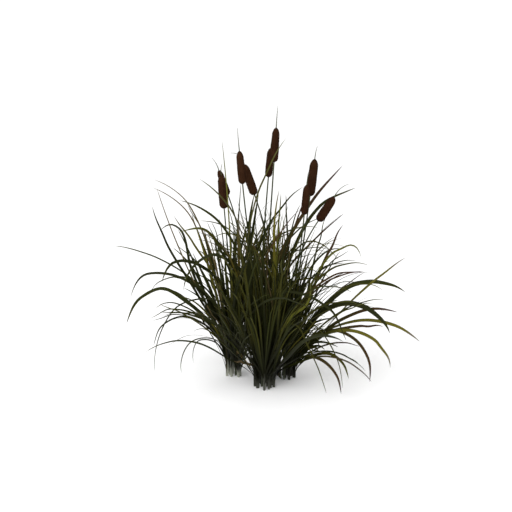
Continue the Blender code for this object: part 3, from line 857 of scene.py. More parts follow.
def finish_tree(graph, geometry, material):
    """Every tree ends the same way: instances made real, then the material."""
    whole = graph.node("GeometryNodeRealizeInstances", Geometry=geometry)
    painted = graph.node("GeometryNodeSetMaterial", Geometry=whole, Material=material)
    outlet = graph.tree.nodes.new("NodeGroupOutput")
    graph.tree.links.new(painted.socket, outlet.inputs[0])
    return graph.tree


def carried(graph, name, kind="FLOAT"):
    """A number or vector that the guide's points carry."""
    return graph.node("GeometryNodeInputNamedAttribute", {"data_type": kind}, Name=name)


def stored(graph, geometry, name, value):
    """Gives every point of a section or surface a number of its own."""
    settings = {"data_type": "FLOAT", "domain": "POINT"}
    inputs = {"Geometry": geometry, "Name": name, "Value": value}
    return graph.node("GeometryNodeStoreNamedAttribute", settings, **inputs)


def moved(graph, geometry, offset=None, position=None):
    """Moves points by an offset or to a position."""
    change = {"Offset": offset} if position is None else {"Position": position}
    return graph.node("GeometryNodeSetPosition", Geometry=geometry, **change)


def scaled(graph, vector, factor):
    return graph.node("ShaderNodeVectorMath", {"operation": "SCALE"}, Vector=vector, Scale=factor)


def swept(graph, mesh, profile):
    """A section swept along every edge chain, at the size and turn that its points carry."""
    curve = graph.node("GeometryNodeMeshToCurve", Mesh=mesh)
    flat = carried(graph, "flat", "FLOAT_VECTOR")
    curve = graph.node("GeometryNodeSetCurveNormal", {"mode": "FREE"}, Curve=curve, Normal=flat)
    size = carried(graph, "half_width")
    ends = {"Fill_Caps": True}
    return graph.node("GeometryNodeCurveToMesh", Curve=curve, Profile_Curve=profile, Scale=size, **ends)


def round_profile(graph, sides):
    """A circle of radius 1, and the x and y of its points."""
    settings = {"mode": "RADIUS"}
    circle = graph.node("GeometryNodeCurvePrimitiveCircle", settings, Resolution=sides, Radius=1.0)
    place = graph.node("ShaderNodeSeparateXYZ", Vector=graph.node("GeometryNodeInputPosition"))
    return circle, place, place.output("Y")


trial, trial_inputs = new_tree("trial", {"Sides": 8})
print("inputs of a new tree:", list(trial_inputs))
bpy.data.node_groups.remove(trial.tree)

# %% [markdown]
# ## One tree for a whole leaf fan
# A blade's section is a thin crescent: slightly channelled above, keeled below, sharp at both edges.
# At the foot the edges curl round the inner leaves, which is how the sheath holds together. The
# oval sheath is swept by the same tree with a ribbed section and a ragged rim.

# %% The leaf fan tree
FAN_SIZES = {
    "Blade sides": 8,
    "Groove": 0.10,
    "Keel": 0.16,
    "Sheath sides": 28,
    "Sheath ribs": 5.0,
    "Sheath rib depth": 0.42,
    "Sheath flatness": 0.67,
    "Rag": 0.009,
}
RAG_SCALE = 190.0
SHEATH_VEIN_SHARE = 0.35


def leaf_fan_tree():
    graph, size = new_tree("leaf_fan", FAN_SIZES)
    is_sheath = carried(graph, "is_sheath")
    parts = graph.node("GeometryNodeSeparateGeometry", {"domain": "POINT"},
                       Geometry=size["Geometry"], Selection=is_sheath)
    circle, x, y = round_profile(graph, size["Blade sides"])
    below = graph.sum("LESS_THAN", y, 0.0)
    depth = (x * x - 1.0) * (size["Groove"] + size["Keel"] * below)
    crescent = moved(graph, circle, position=graph.place(x, depth, 0.0))
    crescent = stored(graph, crescent, "across", x)
    blades = swept(graph, parts.output("Inverted"), crescent)
    across = carried(graph, "across")
    curl = across * across * carried(graph, "clasp") * carried(graph, "half_width")
    blades = moved(graph, blades, offset=scaled(graph, carried(graph, "stack", "FLOAT_VECTOR"), curl))

    circle, x, y = round_profile(graph, size["Sheath sides"])
    angle = graph.sum("ARCTAN2", y, x)
    wave = graph.sum("COSINE", angle * size["Sheath ribs"])
    rib = 1.0 - size["Sheath rib depth"] * (0.5 + 0.5 * wave)
    oval = moved(graph, circle, position=graph.place(x * rib, y * rib * size["Sheath flatness"], 0.0))
    oval = stored(graph, oval, "across", angle * SHEATH_VEIN_SHARE)
    sheath = swept(graph, parts, oval)
    here = graph.node("GeometryNodeInputPosition")
    rag = graph.node("ShaderNodeTexNoise", Vector=here, Scale=RAG_SCALE)
    rag = (rag - 0.5) * size["Rag"] * carried(graph, "rim")
    sheath = moved(graph, sheath, offset=graph.place(0.0, 0.0, rag))
    whole = graph.node("GeometryNodeJoinGeometry", Geometry=[blades, sheath])
    return finish_tree(graph, whole, size["Material"])


fan_tree = leaf_fan_tree()
print("leaf fan tree:", len(fan_tree.nodes), "nodes")

# %% [markdown]
# ## Starting a material
# Every material here starts from the Principled shader, and reads what the surface carries: numbers
# that the guides gave its points, such as how far along the leaf it is. Four short helpers do that.

# %% Helpers for materials


def new_material(name):
    """An empty material, its graph and its shader."""
    made = bpy.data.materials.new(name)
    made.use_nodes = True
    graph = Graph(made.node_tree)
    return made, graph, made.node_tree.nodes["Principled BSDF"]


def connect(graph, shader, **values):
    """Sets or links the shader's sockets."""
    for name, value in values.items():
        socket = socket_called(shader.inputs, name.replace("_", " "))
        if isinstance(value, Value):
            graph.tree.links.new(value.socket, socket)
        else:
            socket.default_value = value


def surface_number(graph, name):
    """A number that the piece's own points carry."""
    return graph.node("ShaderNodeAttribute", {"attribute_name": name}).output("Fac")


def solid(colour):
    """A colour with its fourth number, as colour sockets take it."""
    return (*colour, 1.0)


print("numbers on a leaf's points: along, across, leaf_seed, dryness, bleach")

# %% [markdown]
# ## Leaf colours
# The leaves are a dark olive green. Low on every leaf the colour is nearly black: painted shade for the
# inside of the clump. Higher up the golden and lime leaves turn yellow-olive, partly their own colour and
# partly a painted highlight where the light catches them. Going up a leaf, one zone of colour fades into
# the next, and the leaf's look picks the colour of each zone, from dark leaves over green and golden ones
# to lime. Many tips have died back to purple-brown or grey, a few leaves are straw all over, and some
# feet are bleached.

# %% The colours of a leaf
# The first colour is painted shade: the near-black of the leaf feet inside the clump.
LEAF_FOOT_SHADE = (0.0042, 0.0046, 0.0013)
LEAF_DARK = (0.0120, 0.0140, 0.0038)
LEAF_GREEN = (0.0220, 0.0255, 0.0045)
LEAF_OLIVE = (0.0430, 0.0405, 0.0055)
# Gold and lime are partly the leaves' own yellow and partly painted highlight.
LEAF_GOLD = (0.0950, 0.0850, 0.0100)
LEAF_LIME = (0.0950, 0.1000, 0.0130)
LEAF_RUST = (0.0400, 0.0290, 0.0070)
LEAF_BROWN = (0.0430, 0.0215, 0.0090)
LEAF_PALE_FOOT = (0.4200, 0.4300, 0.3600)
TIP_GREEN = (0.0950, 0.1020, 0.0320)
TIP_GREY = (0.1300, 0.1050, 0.0850)
TIP_PURPLE = (0.0750, 0.0500, 0.0520)
LEAF_STRAW = (0.1500, 0.1180, 0.0560)

# Between which places a zone fades in, how much it covers, and its colour at each look.
LOWER_LOOKS = (0.0, 0.20, 0.46, 0.62, 0.76, 1.0)
UPPER_LOOKS = (0.0, 0.30, 0.46, 0.62, 0.76, 1.0)
# The first zone fades out of the painted shade at the foot. Leaves of the dark look keep it through that
# zone.
LEAF_ZONES = (
    (0.12, 0.38, 1.0, LOWER_LOOKS, (LEAF_FOOT_SHADE, LEAF_DARK, LEAF_DARK, LEAF_GREEN, LEAF_GREEN, LEAF_OLIVE)),
    (0.36, 0.64, 1.0, UPPER_LOOKS, (LEAF_DARK, LEAF_GREEN, LEAF_OLIVE, LEAF_GOLD, LEAF_RUST, LEAF_LIME)),
    (0.62, 0.86, 1.0, UPPER_LOOKS, (LEAF_DARK, LEAF_GREEN, LEAF_OLIVE, LEAF_GOLD, LEAF_BROWN, LEAF_LIME)),
)
TIP_COLOURS = (LEAF_GREEN, LEAF_OLIVE, TIP_GREEN, TIP_GREY, TIP_PURPLE, TIP_GREEN)
TIP_ZONE = (0.86, 1.0, 0.9, UPPER_LOOKS, TIP_COLOURS)


def with_zone(graph, colour, place, seed, zone):
    """A blade's colour with one more zone on it."""
    low, high, cover, looks, colours = zone
    share = graph.smooth_step(place, low, high)
    if cover < 1.0:
        share = share * cover
    return graph.blend(share, colour, graph.ramp(seed, *zip(looks, colours)))


print(len(LEAF_ZONES) + 1, "zones up a leaf, with", len(UPPER_LOOKS), "colours in each")

# %% [markdown]
# ## The leaf material
# Fine parallel veins run from foot to tip: a sine across the blade, bent by a streaky noise that is
# stretched along it. They lighten the colour and roughen the surface a little. Edges are browner, and
# small brown specks come in patches. Numbers below 1 in the sums are shares: how strongly each of
# these shows.

# %% The leaf material
STREAKS_ACROSS = 4.5
STREAKS_ALONG = 2.0
STREAKS_BY_LEAF = 91.0
VEINS_ACROSS = 26.0
PATCH_SCALE = 26.0
SPECK_SCALE = 420.0
VEIN_LIGHT = (1.9, 1.9, 1.5)
BLEACHED_UP_TO = 0.11
PLANT_SPECULAR = 0.06


def leaf_material():
    made, graph, shader = new_material("leaf")
    along = surface_number(graph, "along")
    across = surface_number(graph, "across")
    seed = surface_number(graph, "leaf_seed")
    dry = surface_number(graph, "dryness")
    here = graph.node("ShaderNodeTexCoord").output("Object")
    streak_place = graph.place(across * STREAKS_ACROSS, along * STREAKS_ALONG, seed * STREAKS_BY_LEAF)
    streaks = graph.noise(streak_place, 1.0, 4.0, 0.6)
    veins = graph.sum("SINE", across * VEINS_ACROSS + streaks * 4.0) * 0.5 + 0.5
    patches = graph.noise(here, PATCH_SCALE)
    specks = graph.noise(here, SPECK_SCALE, 2.0)
    place = along + (patches - 0.5) * 0.20 + (streaks - 0.5) * 0.14 + dry * 0.12

    # Every leaf starts from the painted shade at its foot.
    colour = solid(LEAF_FOOT_SHADE)
    for zone in LEAF_ZONES:
        colour = with_zone(graph, colour, place, seed, zone)
    colour = graph.blend(veins * 0.18, colour, graph.blend(1.0, colour, solid(VEIN_LIGHT), "MULTIPLY"))
    margin = graph.smooth_step(across * across, 0.80, 1.0)
    colour = graph.blend(margin * 0.25, colour, solid(LEAF_BROWN))
    colour = with_zone(graph, colour, place, seed, TIP_ZONE)
    straw = graph.blend(graph.noise(streak_place, 2.2), solid(LEAF_STRAW), solid(LEAF_BROWN))
    colour = graph.blend(graph.smooth_step(dry, 0.55, 0.9) * 0.85, colour, straw)
    foot = 1.0 - graph.smooth_step(along + (streaks - 0.5) * 0.06, 0.0, BLEACHED_UP_TO)
    colour = graph.blend(foot * surface_number(graph, "bleach"), colour, solid(LEAF_PALE_FOOT))
    spots = graph.smooth_step(specks, 0.66, 0.74) * graph.smooth_step(patches, 0.5, 0.62)
    colour = graph.blend(spots * 0.5, colour, solid(LEAF_BROWN))

    relief = veins * 0.6 + streaks * 0.5 + specks * 0.2
    bump = graph.node("ShaderNodeBump", Strength=0.35, Distance=0.0006, Height=relief)
    withered = graph.smooth_step(place, *TIP_ZONE[:2])
    roughness = 0.46 + dry * 0.25 + veins * 0.12 + withered * 0.15
    connect(graph, shader, Base_Color=colour, Roughness=roughness, Normal=bump)
    connect(graph, shader, Specular_IOR_Level=PLANT_SPECULAR)
    return made


leaf_paint = leaf_material()
print("leaf material:", len(leaf_paint.node_tree.nodes), "nodes")

# %% [markdown]
# ## Dress the leaf fans
# Each fan becomes one piece: its blades, its younger leaves and the sheath that holds them. The guide's
# points carry all that the tree and the material need. The left tuft stands on pale, bleached feet, the
# others don't. The sheath is narrow, with deep ribs and a rim that turns in, so that separate leaf
# bases are seen.

# %% Guides for a blade and a sheath
POINT_HALF_WIDTH = 0.0004
CLASP_DEPTH = 0.9
CLASP_ENDS = 0.09
SHEATH_INTURN = 0.2
SHEATH_DRYNESS = 0.3
SHEATH_HEIGHTS = np.array((0.0, 0.15, 0.4, 0.65, 0.85, 0.95, 1.0, 1.0))
SHEATH_SCALES = np.array((0.55, 0.60, 0.72, 0.84, 0.88, 0.86, 0.74, 0.45))
BLEACHED_FEET = {"left": 0.92, "middle": 0.16, "right": 0.06}
SHEATH_COLOUR_SPAN = 0.07


def tuft_of(fan):
    return min(TUFTS, key=lambda tuft: math.dist(TUFTS[tuft], fan.middle[:2]))


def blade_run(fan, blade, seed, dryness):
    """What a blade's points carry. Both edges clasp towards the middle of the sheath at its foot."""
    shares = length_shares(blade["points"])
    half_width = blade["half_width"] * blade_shape(shares, blade.get("hold", BLADE_HOLD)) + TIP_HALF_WIDTH
    half_width[-1] = POINT_HALF_WIDTH
    clasp = CLASP_DEPTH * np.clip(1 - shares / CLASP_ENDS, 0.0, 1.0) ** 0.5
    side = -1.0 if blade["slot"] > 0 else 1.0
    return {
        "points": blade["points"],
        "half_width": half_width,
        "flat": blade["flat"],
        "stack": np.broadcast_to(fan.stack, blade["points"].shape),
        "clasp": side * clasp,
        "along": shares,
        "rim": np.zeros_like(shares),
        "leaf_seed": np.full_like(shares, seed),
        "dryness": np.full_like(shares, dryness),
        "bleach": np.full_like(shares, BLEACHED_FEET[tuft_of(fan)]),
        "is_sheath": np.zeros_like(shares),
    }


def sheath_run(fan, seed):
    """The same for a sheath, whose last ring turns in to close its rim."""
    heights = SHEATH_HEIGHTS * fan.height
    points = fan.middle + heights[:, None] * np.array((0.0, 0.0, 1.0))
    points[-1, 2] -= SHEATH_INTURN * fan.height
    return {
        "points": points,
        "half_width": SHEATH_SCALES * fan.half_length,
        "flat": np.broadcast_to(fan.stack, points.shape),
        "stack": np.broadcast_to(fan.stack, points.shape),
        "clasp": np.zeros_like(heights),
        "along": heights / fan.height * SHEATH_COLOUR_SPAN,
        "rim": np.clip(SHEATH_HEIGHTS * 2 - 1, 0.0, 1.0),
        "leaf_seed": np.full_like(heights, seed),
        "dryness": np.full_like(heights, SHEATH_DRYNESS),
        "bleach": np.full_like(heights, BLEACHED_FEET[tuft_of(fan)]),
        "is_sheath": np.ones_like(heights),
    }


print("fans in each tuft:", {tuft: sum(tuft_of(fan) == tuft for fan in fans) for tuft in TUFTS})

# %% [markdown]
# ## Grow the leaf fans
# Each leaf draws a look and a dryness. Most are dark or green, few are golden, and one in twenty-five of
# the younger ones is dead. Leaves that reach towards the camera keep to the darker looks, as the
# photograph shows its front in shade.

# %% Grow the fans
DEAD_SHARE = 0.04
DEAD_DRYNESS = (0.7, 1.0)
LIVING_DRYNESS = (0.0, 0.35)
LOOK_SHARES = (0.48, 0.21, 0.16, 0.07, 0.05, 0.03)
LOOK_SPREAD = 0.07
FRONT_SHADE_LOOK = 0.39

rng = np.random.default_rng(LEAF_SEED + 1)
leaf_pieces = []
for fan in fans:
    runs = [sheath_run(fan, rng.uniform())]
    for number, blade in enumerate(fan.blades + fan.young):
        dead = number >= len(fan.blades) and rng.uniform() < DEAD_SHARE
        dryness = rng.uniform(*(DEAD_DRYNESS if dead else LIVING_DRYNESS))
        look = LOOKS[rng.choice(list(LOOKS), p=LOOK_SHARES)] + rng.uniform(-LOOK_SPREAD, LOOK_SPREAD)
        # Painted shade: leaves that reach towards the camera keep to darker looks, for the shaded front
        # of the clump.
        if blade["points"][-1][1] < TOWARDS_CAMERA:
            look = min(look, FRONT_SHADE_LOOK)
        runs.append(blade_run(fan, blade, blade.get("seed", look), blade.get("dryness", dryness)))
    guide = guide_object("fan_guide", runs)
    piece = grown(f"leaves_{fan.number:02d}", guide, fan_tree, leaf_paint)
    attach(piece, "root")
    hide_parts(fan.node)
    leaf_pieces.append(piece)
print("leaf faces:", sum(len(piece.data.polygons) for piece in leaf_pieces))

# %% [markdown]
# ## Read the stalks
# Each stalk is three solids end to end: a round stem, the seed head and the bare spike above it.
# Their rings give a path and a radius at each station. One end is known, the other follows.

# %% Read the stalks
STEM_SIDES = 6
HEAD_SIDES = 10
TIP_SIDES = 4
STEM_STATIONS = 56
HEAD_STATIONS = 60
TIP_STATIONS = 16


def round_run(node, sides, near, count):
    """Evenly spaced points along a round solid and the radius at each, from the end nearest to near."""
    bm = merged_mesh(node)
    start = sorted(bm.verts, key=lambda vert: (vert.co - near).length)[:sides]
    rings = [[vert.co.copy() for vert in start], *rings_from(start, sides)[0]]
    bm.free()
    middles = [middle_of(ring) for ring in rings]
    radii = [(ring[0] - middle).length for ring, middle in zip(rings, middles)]
    points = smooth_curve(middles, count)
    knots = length_shares(np.array(middles, float))
    return points, np.interp(length_shares(points), knots, radii)


class Stalk:
    """A stem, its seed head and its spike tip as the frame has them."""

    def __init__(self, number):
        self.number = number
        low = merged_mesh(f"stem_{number}")
        foot = middle_of([vert.co.copy() for vert in low.verts if vert.co.z < FLAT_FOOT])
        low.free()
        self.stem = round_run(f"stem_{number}", STEM_SIDES, foot, STEM_STATIONS)
        self.head = round_run(f"seed_head_{number}", HEAD_SIDES, Vector(self.stem[0][-1]), HEAD_STATIONS)
        self.tip = round_run(f"spike_tip_{number}", TIP_SIDES, Vector(self.head[0][-1]), TIP_STATIONS)


stalks = [Stalk(number + 1) for number in range(len(names_of("stem")))]
for stalk in stalks:
    long = 1000 * np.ptp(stalk.head[0], axis=0).max()
    thick = 2000 * stalk.head[1].max()
    print("head", stalk.number, round(long), "mm long and", round(thick), "mm thick")

# %% [markdown]
# ## Tubes and stubs
# Stems, spikes and seed heads are all swept circles, and two of them are rough: the spikes with the
# stubs of fallen flowers, the heads with the ends of their seeds. Such a stub is an open cone of three
# sides. It is scattered over the surface as instances, each turned and leaning its own way.

# %% A swept tube, and stubs on a surface
ANY_TURN = 3.14
TURN_SEED = 7
SIZE_SEED = 3
SMALLEST_COPY = 0.6
STUB_SIDES = 3


def tube(graph, mesh, sides, ribs=0.0, rib_depth=0.0):
    """A ribbed tube swept along the guide. Its points carry their angle as across."""
    circle, x, y = round_profile(graph, sides)
    angle = graph.sum("ARCTAN2", y, x)
    rib = 1.0 - rib_depth * (0.5 + 0.5 * graph.sum("COSINE", angle * ribs))
    circle = moved(graph, circle, position=graph.place(x * rib, y * rib, 0.0))
    return swept(graph, mesh, stored(graph, circle, "across", angle))


def stub(graph, radius, end_radius, length):
    """A small pointed stub that stands on its foot."""
    return graph.node("GeometryNodeMeshCone", {"fill_type": "NONE"}, Vertices=STUB_SIDES,
                      Radius_Bottom=radius, Radius_Top=end_radius, Depth=length)


def scattered(graph, surface, shape, density, seed, lean, selection=True):
    """Copies of a shape that stand on a surface, each leaning its own way."""
    settings = {"distribute_method": "RANDOM"}
    spread = graph.node("GeometryNodeDistributePointsOnFaces", settings, Mesh=surface,
                        Density=density, Seed=seed, Selection=selection)
    own = graph.node("FunctionNodeRandomValue", {"data_type": "FLOAT_VECTOR"}, Seed=TURN_SEED,
                     Min=(-lean, -lean, -ANY_TURN), Max=(lean, lean, ANY_TURN))
    turn = graph.node("FunctionNodeRotateRotation", {"rotation_space": "LOCAL"},
                      Rotation=spread.output("Rotation"), Rotate_By=own)
    size = graph.node("FunctionNodeRandomValue", {"data_type": "FLOAT"}, Seed=SIZE_SEED,
                      Min=SMALLEST_COPY, Max=1.0)
    return graph.node("GeometryNodeInstanceOnPoints", Points=spread, Instance=shape,
                      Rotation=turn, Scale=size)


print("copies are between", SMALLEST_COPY, "and 1 times as long as their stub")

# %% [markdown]
# ## Stems and spike tips
# A cattail stem is smooth and stiff, with faint lines along it. A swept circle with shallow ribs is
# enough. The spike above the head is what is left of the male flowers: a thin axis, rough with the
# stubs of fallen ones, and bare towards its point.

# %% The stem and spike tip trees
STEM_SIZES = {"Sides": 14, "Ribs": 9.0, "Rib depth": 0.045}
TIP_SIZES = {
    "Sides": 10,
    "Stub density": 420000.0,
    "Stub length": 0.0016,
    "Stub radius": 0.00028,
    "Stub end radius": 0.00008,
    "Stubs up to": 0.86,
    "Seed": 5,
}
STUB_LEAN = 0.7


def stem_tree():
    graph, size = new_tree("stem", STEM_SIZES)
    stem = tube(graph, size["Geometry"], size["Sides"], size["Ribs"], size["Rib depth"])
    return finish_tree(graph, stem, size["Material"])


def tip_tree():
    graph, size = new_tree("spike_tip", TIP_SIZES)
    axis = tube(graph, size["Geometry"], size["Sides"])
    shape = stub(graph, size["Stub radius"], size["Stub end radius"], size["Stub length"])
    rough = graph.sum("LESS_THAN", carried(graph, "along"), size["Stubs up to"])
    stubs = scattered(graph, axis, shape, size["Stub density"], size["Seed"], STUB_LEAN, rough)
    whole = graph.node("GeometryNodeJoinGeometry", Geometry=[axis, stubs])
    return finish_tree(graph, whole, size["Material"])


trees = {"stem": stem_tree(), "spike_tip": tip_tree()}
print({name: len(tree.nodes) for name, tree in trees.items()}, "nodes")

# %% [markdown]
# ## Stem and spike colours
# The stems are a dark, slightly bluer green than the leaves and grow paler just under the heads. Their
# streaks run along them: the noise is read on a cylinder round the stem, so it has no seam. The spikes
# are grey-green and weathered.

# %% Stem and spike materials
STEM_DARK = (0.008, 0.013, 0.004)
STEM_GREEN = (0.028, 0.034, 0.008)
STEM_PALE = (0.085, 0.095, 0.050)
SPIKE_GREEN = (0.060, 0.070, 0.035)
SPIKE_GREY = (0.110, 0.115, 0.080)
STEM_STREAKS_ROUND = 2.5
STEM_STREAKS_ALONG = 3.0
STEM_STREAKS_BY_STALK = 40.0
STEM_LINES = 24.0
STEM_MOTTLE_SCALE = 60.0
STEM_SCAR_SCALE = 150.0
SPIKE_MOTTLE_SCALE = 240.0
SPIKE_SPECK_SCALE = 700.0


def stem_material():
    made, graph, shader = new_material("stem")
    along = surface_number(graph, "along")
    across = surface_number(graph, "across")
    seed = surface_number(graph, "leaf_seed")
    here = graph.node("ShaderNodeTexCoord").output("Object")
    x = graph.sum("COSINE", across) * STEM_STREAKS_ROUND
    y = graph.sum("SINE", across) * STEM_STREAKS_ROUND
    around = graph.place(x, y, along * STEM_STREAKS_ALONG + seed * STEM_STREAKS_BY_STALK)
    streaks = graph.noise(around, 2.4, 4.0, 0.65)
    mottle = graph.noise(here, STEM_MOTTLE_SCALE, 4.0)
    green = graph.ramp(streaks * 0.8 + mottle * 0.5 - 0.15, (0.0, STEM_DARK), (1.0, STEM_GREEN))
    pale = graph.smooth_step(along + (mottle - 0.5) * 0.08, 0.80, 1.0)
    colour = graph.blend(pale * 0.55, green, solid(STEM_PALE))
    foot = 1.0 - graph.smooth_step(along, 0.0, 0.10)
    colour = graph.blend(foot * 0.10, colour, solid(LEAF_PALE_FOOT))
    scars = graph.smooth_step(graph.noise(here, STEM_SCAR_SCALE, 2.0), 0.68, 0.76)
    colour = graph.blend(scars * 0.5, colour, solid(LEAF_BROWN))
    lines = graph.sum("SINE", across * STEM_LINES) * 0.5 + 0.5
    bump = graph.node("ShaderNodeBump", Strength=0.3, Distance=0.0004, Height=lines * 0.6 + streaks)
    connect(graph, shader, Base_Color=colour, Roughness=0.40 + mottle * 0.25, Normal=bump)
    connect(graph, shader, Specular_IOR_Level=PLANT_SPECULAR)
    return made


def spike_material():
    made, graph, shader = new_material("spike_tip")
    along = surface_number(graph, "along")
    here = graph.node("ShaderNodeTexCoord").output("Object")
    mottle = graph.noise(here, SPIKE_MOTTLE_SCALE)
    weathered = graph.smooth_step(along * 0.5 + mottle * 0.7, 0.35, 0.85)
    colour = graph.blend(weathered, solid(SPIKE_GREEN), solid(SPIKE_GREY))
    dark = graph.smooth_step(graph.noise(here, SPIKE_SPECK_SCALE, 2.0), 0.58, 0.70)
    colour = graph.blend(dark * 0.6, colour, solid(LEAF_BROWN))
    bump = graph.node("ShaderNodeBump", Strength=0.5, Distance=0.0003, Height=mottle)
    connect(graph, shader, Base_Color=colour, Roughness=0.7 + mottle * 0.2, Normal=bump)
    connect(graph, shader, Specular_IOR_Level=PLANT_SPECULAR)
    return made


paints = {"stem": stem_material(), "spike_tip": spike_material()}
print({name: len(paint.node_tree.nodes) for name, paint in paints.items()}, "nodes in the materials")

# %% [markdown]
# ## The seed heads
# A ripe head is thousands of tiny seeds packed on end round the stem. From a step away it is brown
# velvet. The body is swept along its axis and made slightly uneven, then short bristles are scattered
# all over it, so its outline is soft and light catches their ends.

# %% The seed head tree
HEAD_SIZES = {
    "Sides": 36,
    "Unevenness": 0.0011,
    "Bristle density": 330000.0,
    "Bristle length": 0.0019,
    "Bristle radius": 0.00042,
    "Bristle end radius": 0.00012,
    "Seed": 11,
}
BRISTLE_LEAN = 0.45
LUMP_SCALE = 70.0
LUMP_LEVEL = 0.6


def seed_head_tree():
    graph, size = new_tree("seed_head", HEAD_SIZES)
    body = tube(graph, size["Geometry"], size["Sides"])
    here = graph.node("GeometryNodeInputPosition")
    lumps = graph.node("ShaderNodeTexNoise", Vector=here, Scale=LUMP_SCALE, Detail=3.0)
    outward = graph.node("GeometryNodeInputNormal")
    uneven = (lumps - LUMP_LEVEL) * size["Unevenness"]
    body = moved(graph, body, offset=scaled(graph, outward, uneven))
    shape = stub(graph, size["Bristle radius"], size["Bristle end radius"], size["Bristle length"])
    bristles = scattered(graph, body, shape, size["Bristle density"], size["Seed"], BRISTLE_LEAN)
    whole = graph.node("GeometryNodeJoinGeometry", Geometry=[body, bristles])
    return finish_tree(graph, whole, size["Material"])


trees["seed_head"] = seed_head_tree()
print("seed head tree:", len(trees["seed_head"].nodes), "nodes")

# %% [markdown]
# ## Seed head colour
# The velvet is a dark red-brown. A very fine noise gives its nap, a coarse one its worn patches, both
# ends are darker, and here and there a little pale fluff shows where the head begins to break up.
# Velvet has hardly any gloss.

# %% The seed head material
HEAD_DARK = (0.013, 0.005, 0.0025)
HEAD_BROWN = (0.037, 0.015, 0.0065)
HEAD_RED = (0.066, 0.028, 0.013)
HEAD_FLUFF = (0.140, 0.085, 0.045)
NAP_SCALE = 900.0
WEAR_SCALE = 38.0
FLUFF_SCALE = 240.0
VELVET_SPECULAR = 0.04


def seed_head_material():
    made, graph, shader = new_material("seed_head")
    along = surface_number(graph, "along")
    seed = surface_number(graph, "leaf_seed")
    here = graph.node("ShaderNodeTexCoord").output("Object")
    nap = graph.noise(here, NAP_SCALE, 3.0, 0.7)
    patches = graph.noise(here, WEAR_SCALE, 4.0)
    tone = nap * 0.75 + patches * 0.65 + along * 0.12 + seed * 0.10 - 0.42
    colour = graph.ramp(tone, (0.0, HEAD_DARK), (0.5, HEAD_BROWN), (1.0, HEAD_RED))
    ends = 1.0 - graph.smooth_step(along, 0.0, 0.06) + graph.smooth_step(along, 0.95, 1.0)
    colour = graph.blend(ends * 0.45, colour, solid(HEAD_DARK))
    fluff = graph.smooth_step(graph.noise(here, FLUFF_SCALE, 2.0), 0.70, 0.78)
    fluff = fluff * graph.smooth_step(patches, 0.48, 0.60)
    colour = graph.blend(fluff * 0.55, colour, solid(HEAD_FLUFF))
    bump = graph.node("ShaderNodeBump", Strength=0.6, Distance=0.0008, Height=nap)
    connect(graph, shader, Base_Color=colour, Roughness=0.88 + nap * 0.1, Normal=bump)
    connect(graph, shader, Specular_IOR_Level=VELVET_SPECULAR)
    return made


paints["seed_head"] = seed_head_material()
print("seed head material:", len(paints["seed_head"].node_tree.nodes), "nodes")

# %% [markdown]
# ## Dress the stalks
# Every stem, head and spike replaces its own solid in the frame. The frame's heads have ten flat sides,
# so they look slimmer than round ones, and the photograph shows some fuller than others. So each
# head's radius is made a little larger by a share of its own.

# %% Grow the stalks
PIECE_WORDS = {"stem": "reed", "seed_head": "velvet_head", "spike_tip": "spike"}
HEAD_FULLNESS = {1: 1.04, 2: 1.07, 3: 1.06, 4: 1.20, 5: 1.07, 6: 1.18, 7: 1.12, 8: 1.07, 9: 1.26}


def stalk_guide(points, radii, seed):
    """A guide for one round piece."""
    forward = directions(points)
    flat = np.cross((0.0, 1.0, 0.0), forward)
    shares = length_shares(points)
    return guide_object("stalk_guide", [{
        "points": points,
        "half_width": radii,
        "flat": flat / np.linalg.norm(flat, axis=1)[:, None],
        "along": shares,
        "leaf_seed": np.full_like(shares, seed),
    }])


rng = np.random.default_rng(LEAF_SEED + 2)
for stalk in stalks:
    parts = {"stem": stalk.stem, "seed_head": stalk.head, "spike_tip": stalk.tip}
    for kind, (points, radii) in parts.items():
        fullness = HEAD_FULLNESS[stalk.number] if kind == "seed_head" else 1.0
        guide = stalk_guide(points, fullness * radii, rng.uniform())
        piece = grown(f"{PIECE_WORDS[kind]}_{stalk.number}", guide, trees[kind], paints[kind])
        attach(piece, "root")
        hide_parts(f"{kind}_{stalk.number}")
        print(piece.name, len(piece.data.polygons), "faces")

# %% [markdown]
# ## Floor and light
# The photograph is a cut-out on white, with soft light from all round and a little more from above
# on the left. A wide white floor, a white sky and one large lamp give the same.

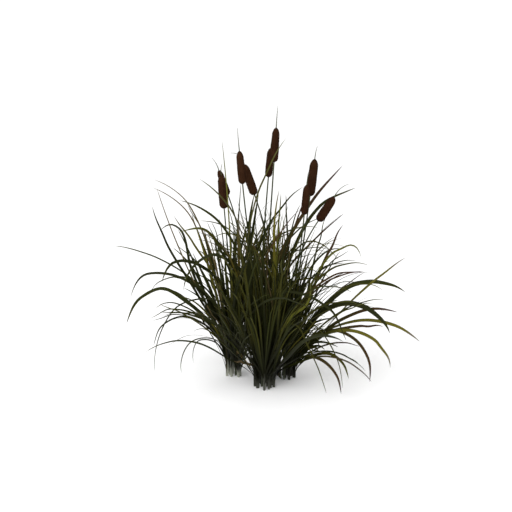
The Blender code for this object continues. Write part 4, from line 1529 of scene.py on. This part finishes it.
# %% Floor and light
FLOOR_HALF = 14.0
FLOOR_GREYS = (0.92, 0.94)
SKY_STRENGTH = 1.12
LAMP_POWER = 170.0
LAMP_SIZE = 5.0
LAMP_PLACE = (-3.0, -3.2, 4.2)
LAMP_AIM = (0.0, 0.0, 0.6)
WHITE = (1.0, 1.0, 1.0)

floor_mesh = bpy.data.meshes.new("floor")
corners = [(FLOOR_HALF * x, FLOOR_HALF * y, 0.0) for x, y in ((-1, -1), (1, -1), (1, 1), (-1, 1))]
floor_mesh.from_pydata(corners, [], [(0, 1, 2, 3)])
floor = bpy.data.objects.new("floor", floor_mesh)
scene.collection.objects.link(floor)
floor_paint, graph, shader = new_material("pale_floor")
grain = graph.noise(graph.node("ShaderNodeTexCoord").output("Object"), 3.0)
darker, lighter = [solid((grey, grey, grey)) for grey in FLOOR_GREYS]
connect(graph, shader, Base_Color=graph.blend(grain, darker, lighter), Roughness=0.9)
floor_mesh.materials.append(floor_paint)

world = bpy.data.worlds.new("white_sky")
world.use_nodes = True
sky = world.node_tree.nodes["Background"]
sky.inputs["Color"].default_value = solid(WHITE)
sky.inputs["Strength"].default_value = SKY_STRENGTH
scene.world = world
scene.view_settings.view_transform = "Standard"

lamp = bpy.data.lights.new("large_lamp", "AREA")
lamp.energy = LAMP_POWER
lamp.size = LAMP_SIZE
lamp_object = bpy.data.objects.new("large_lamp", lamp)
lamp_object.location = LAMP_PLACE
aim = Vector(LAMP_AIM) - Vector(LAMP_PLACE)
lamp_object.rotation_euler = aim.to_track_quat("-Z", "Y").to_euler()
scene.collection.objects.link(lamp_object)
print("the lamp shines down", round(math.degrees(math.asin(-aim.z / aim.length))), "degrees")

# %% [markdown]
# ## Sizes
# The dressed clump has to keep to the frame's box. The pieces are counted, with the triangles in all and
# in the largest.

# %% Sizes and finish
pieces = [obj for obj in scene.objects if obj.type == "MESH" and obj.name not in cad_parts]
pieces.remove(floor)
for piece in pieces:
    piece.data.calc_loop_triangles()
counts = [len(piece.data.loop_triangles) for piece in pieces]
print(len(pieces), "pieces with", sum(counts), "triangles in all and", max(counts), "in the largest")
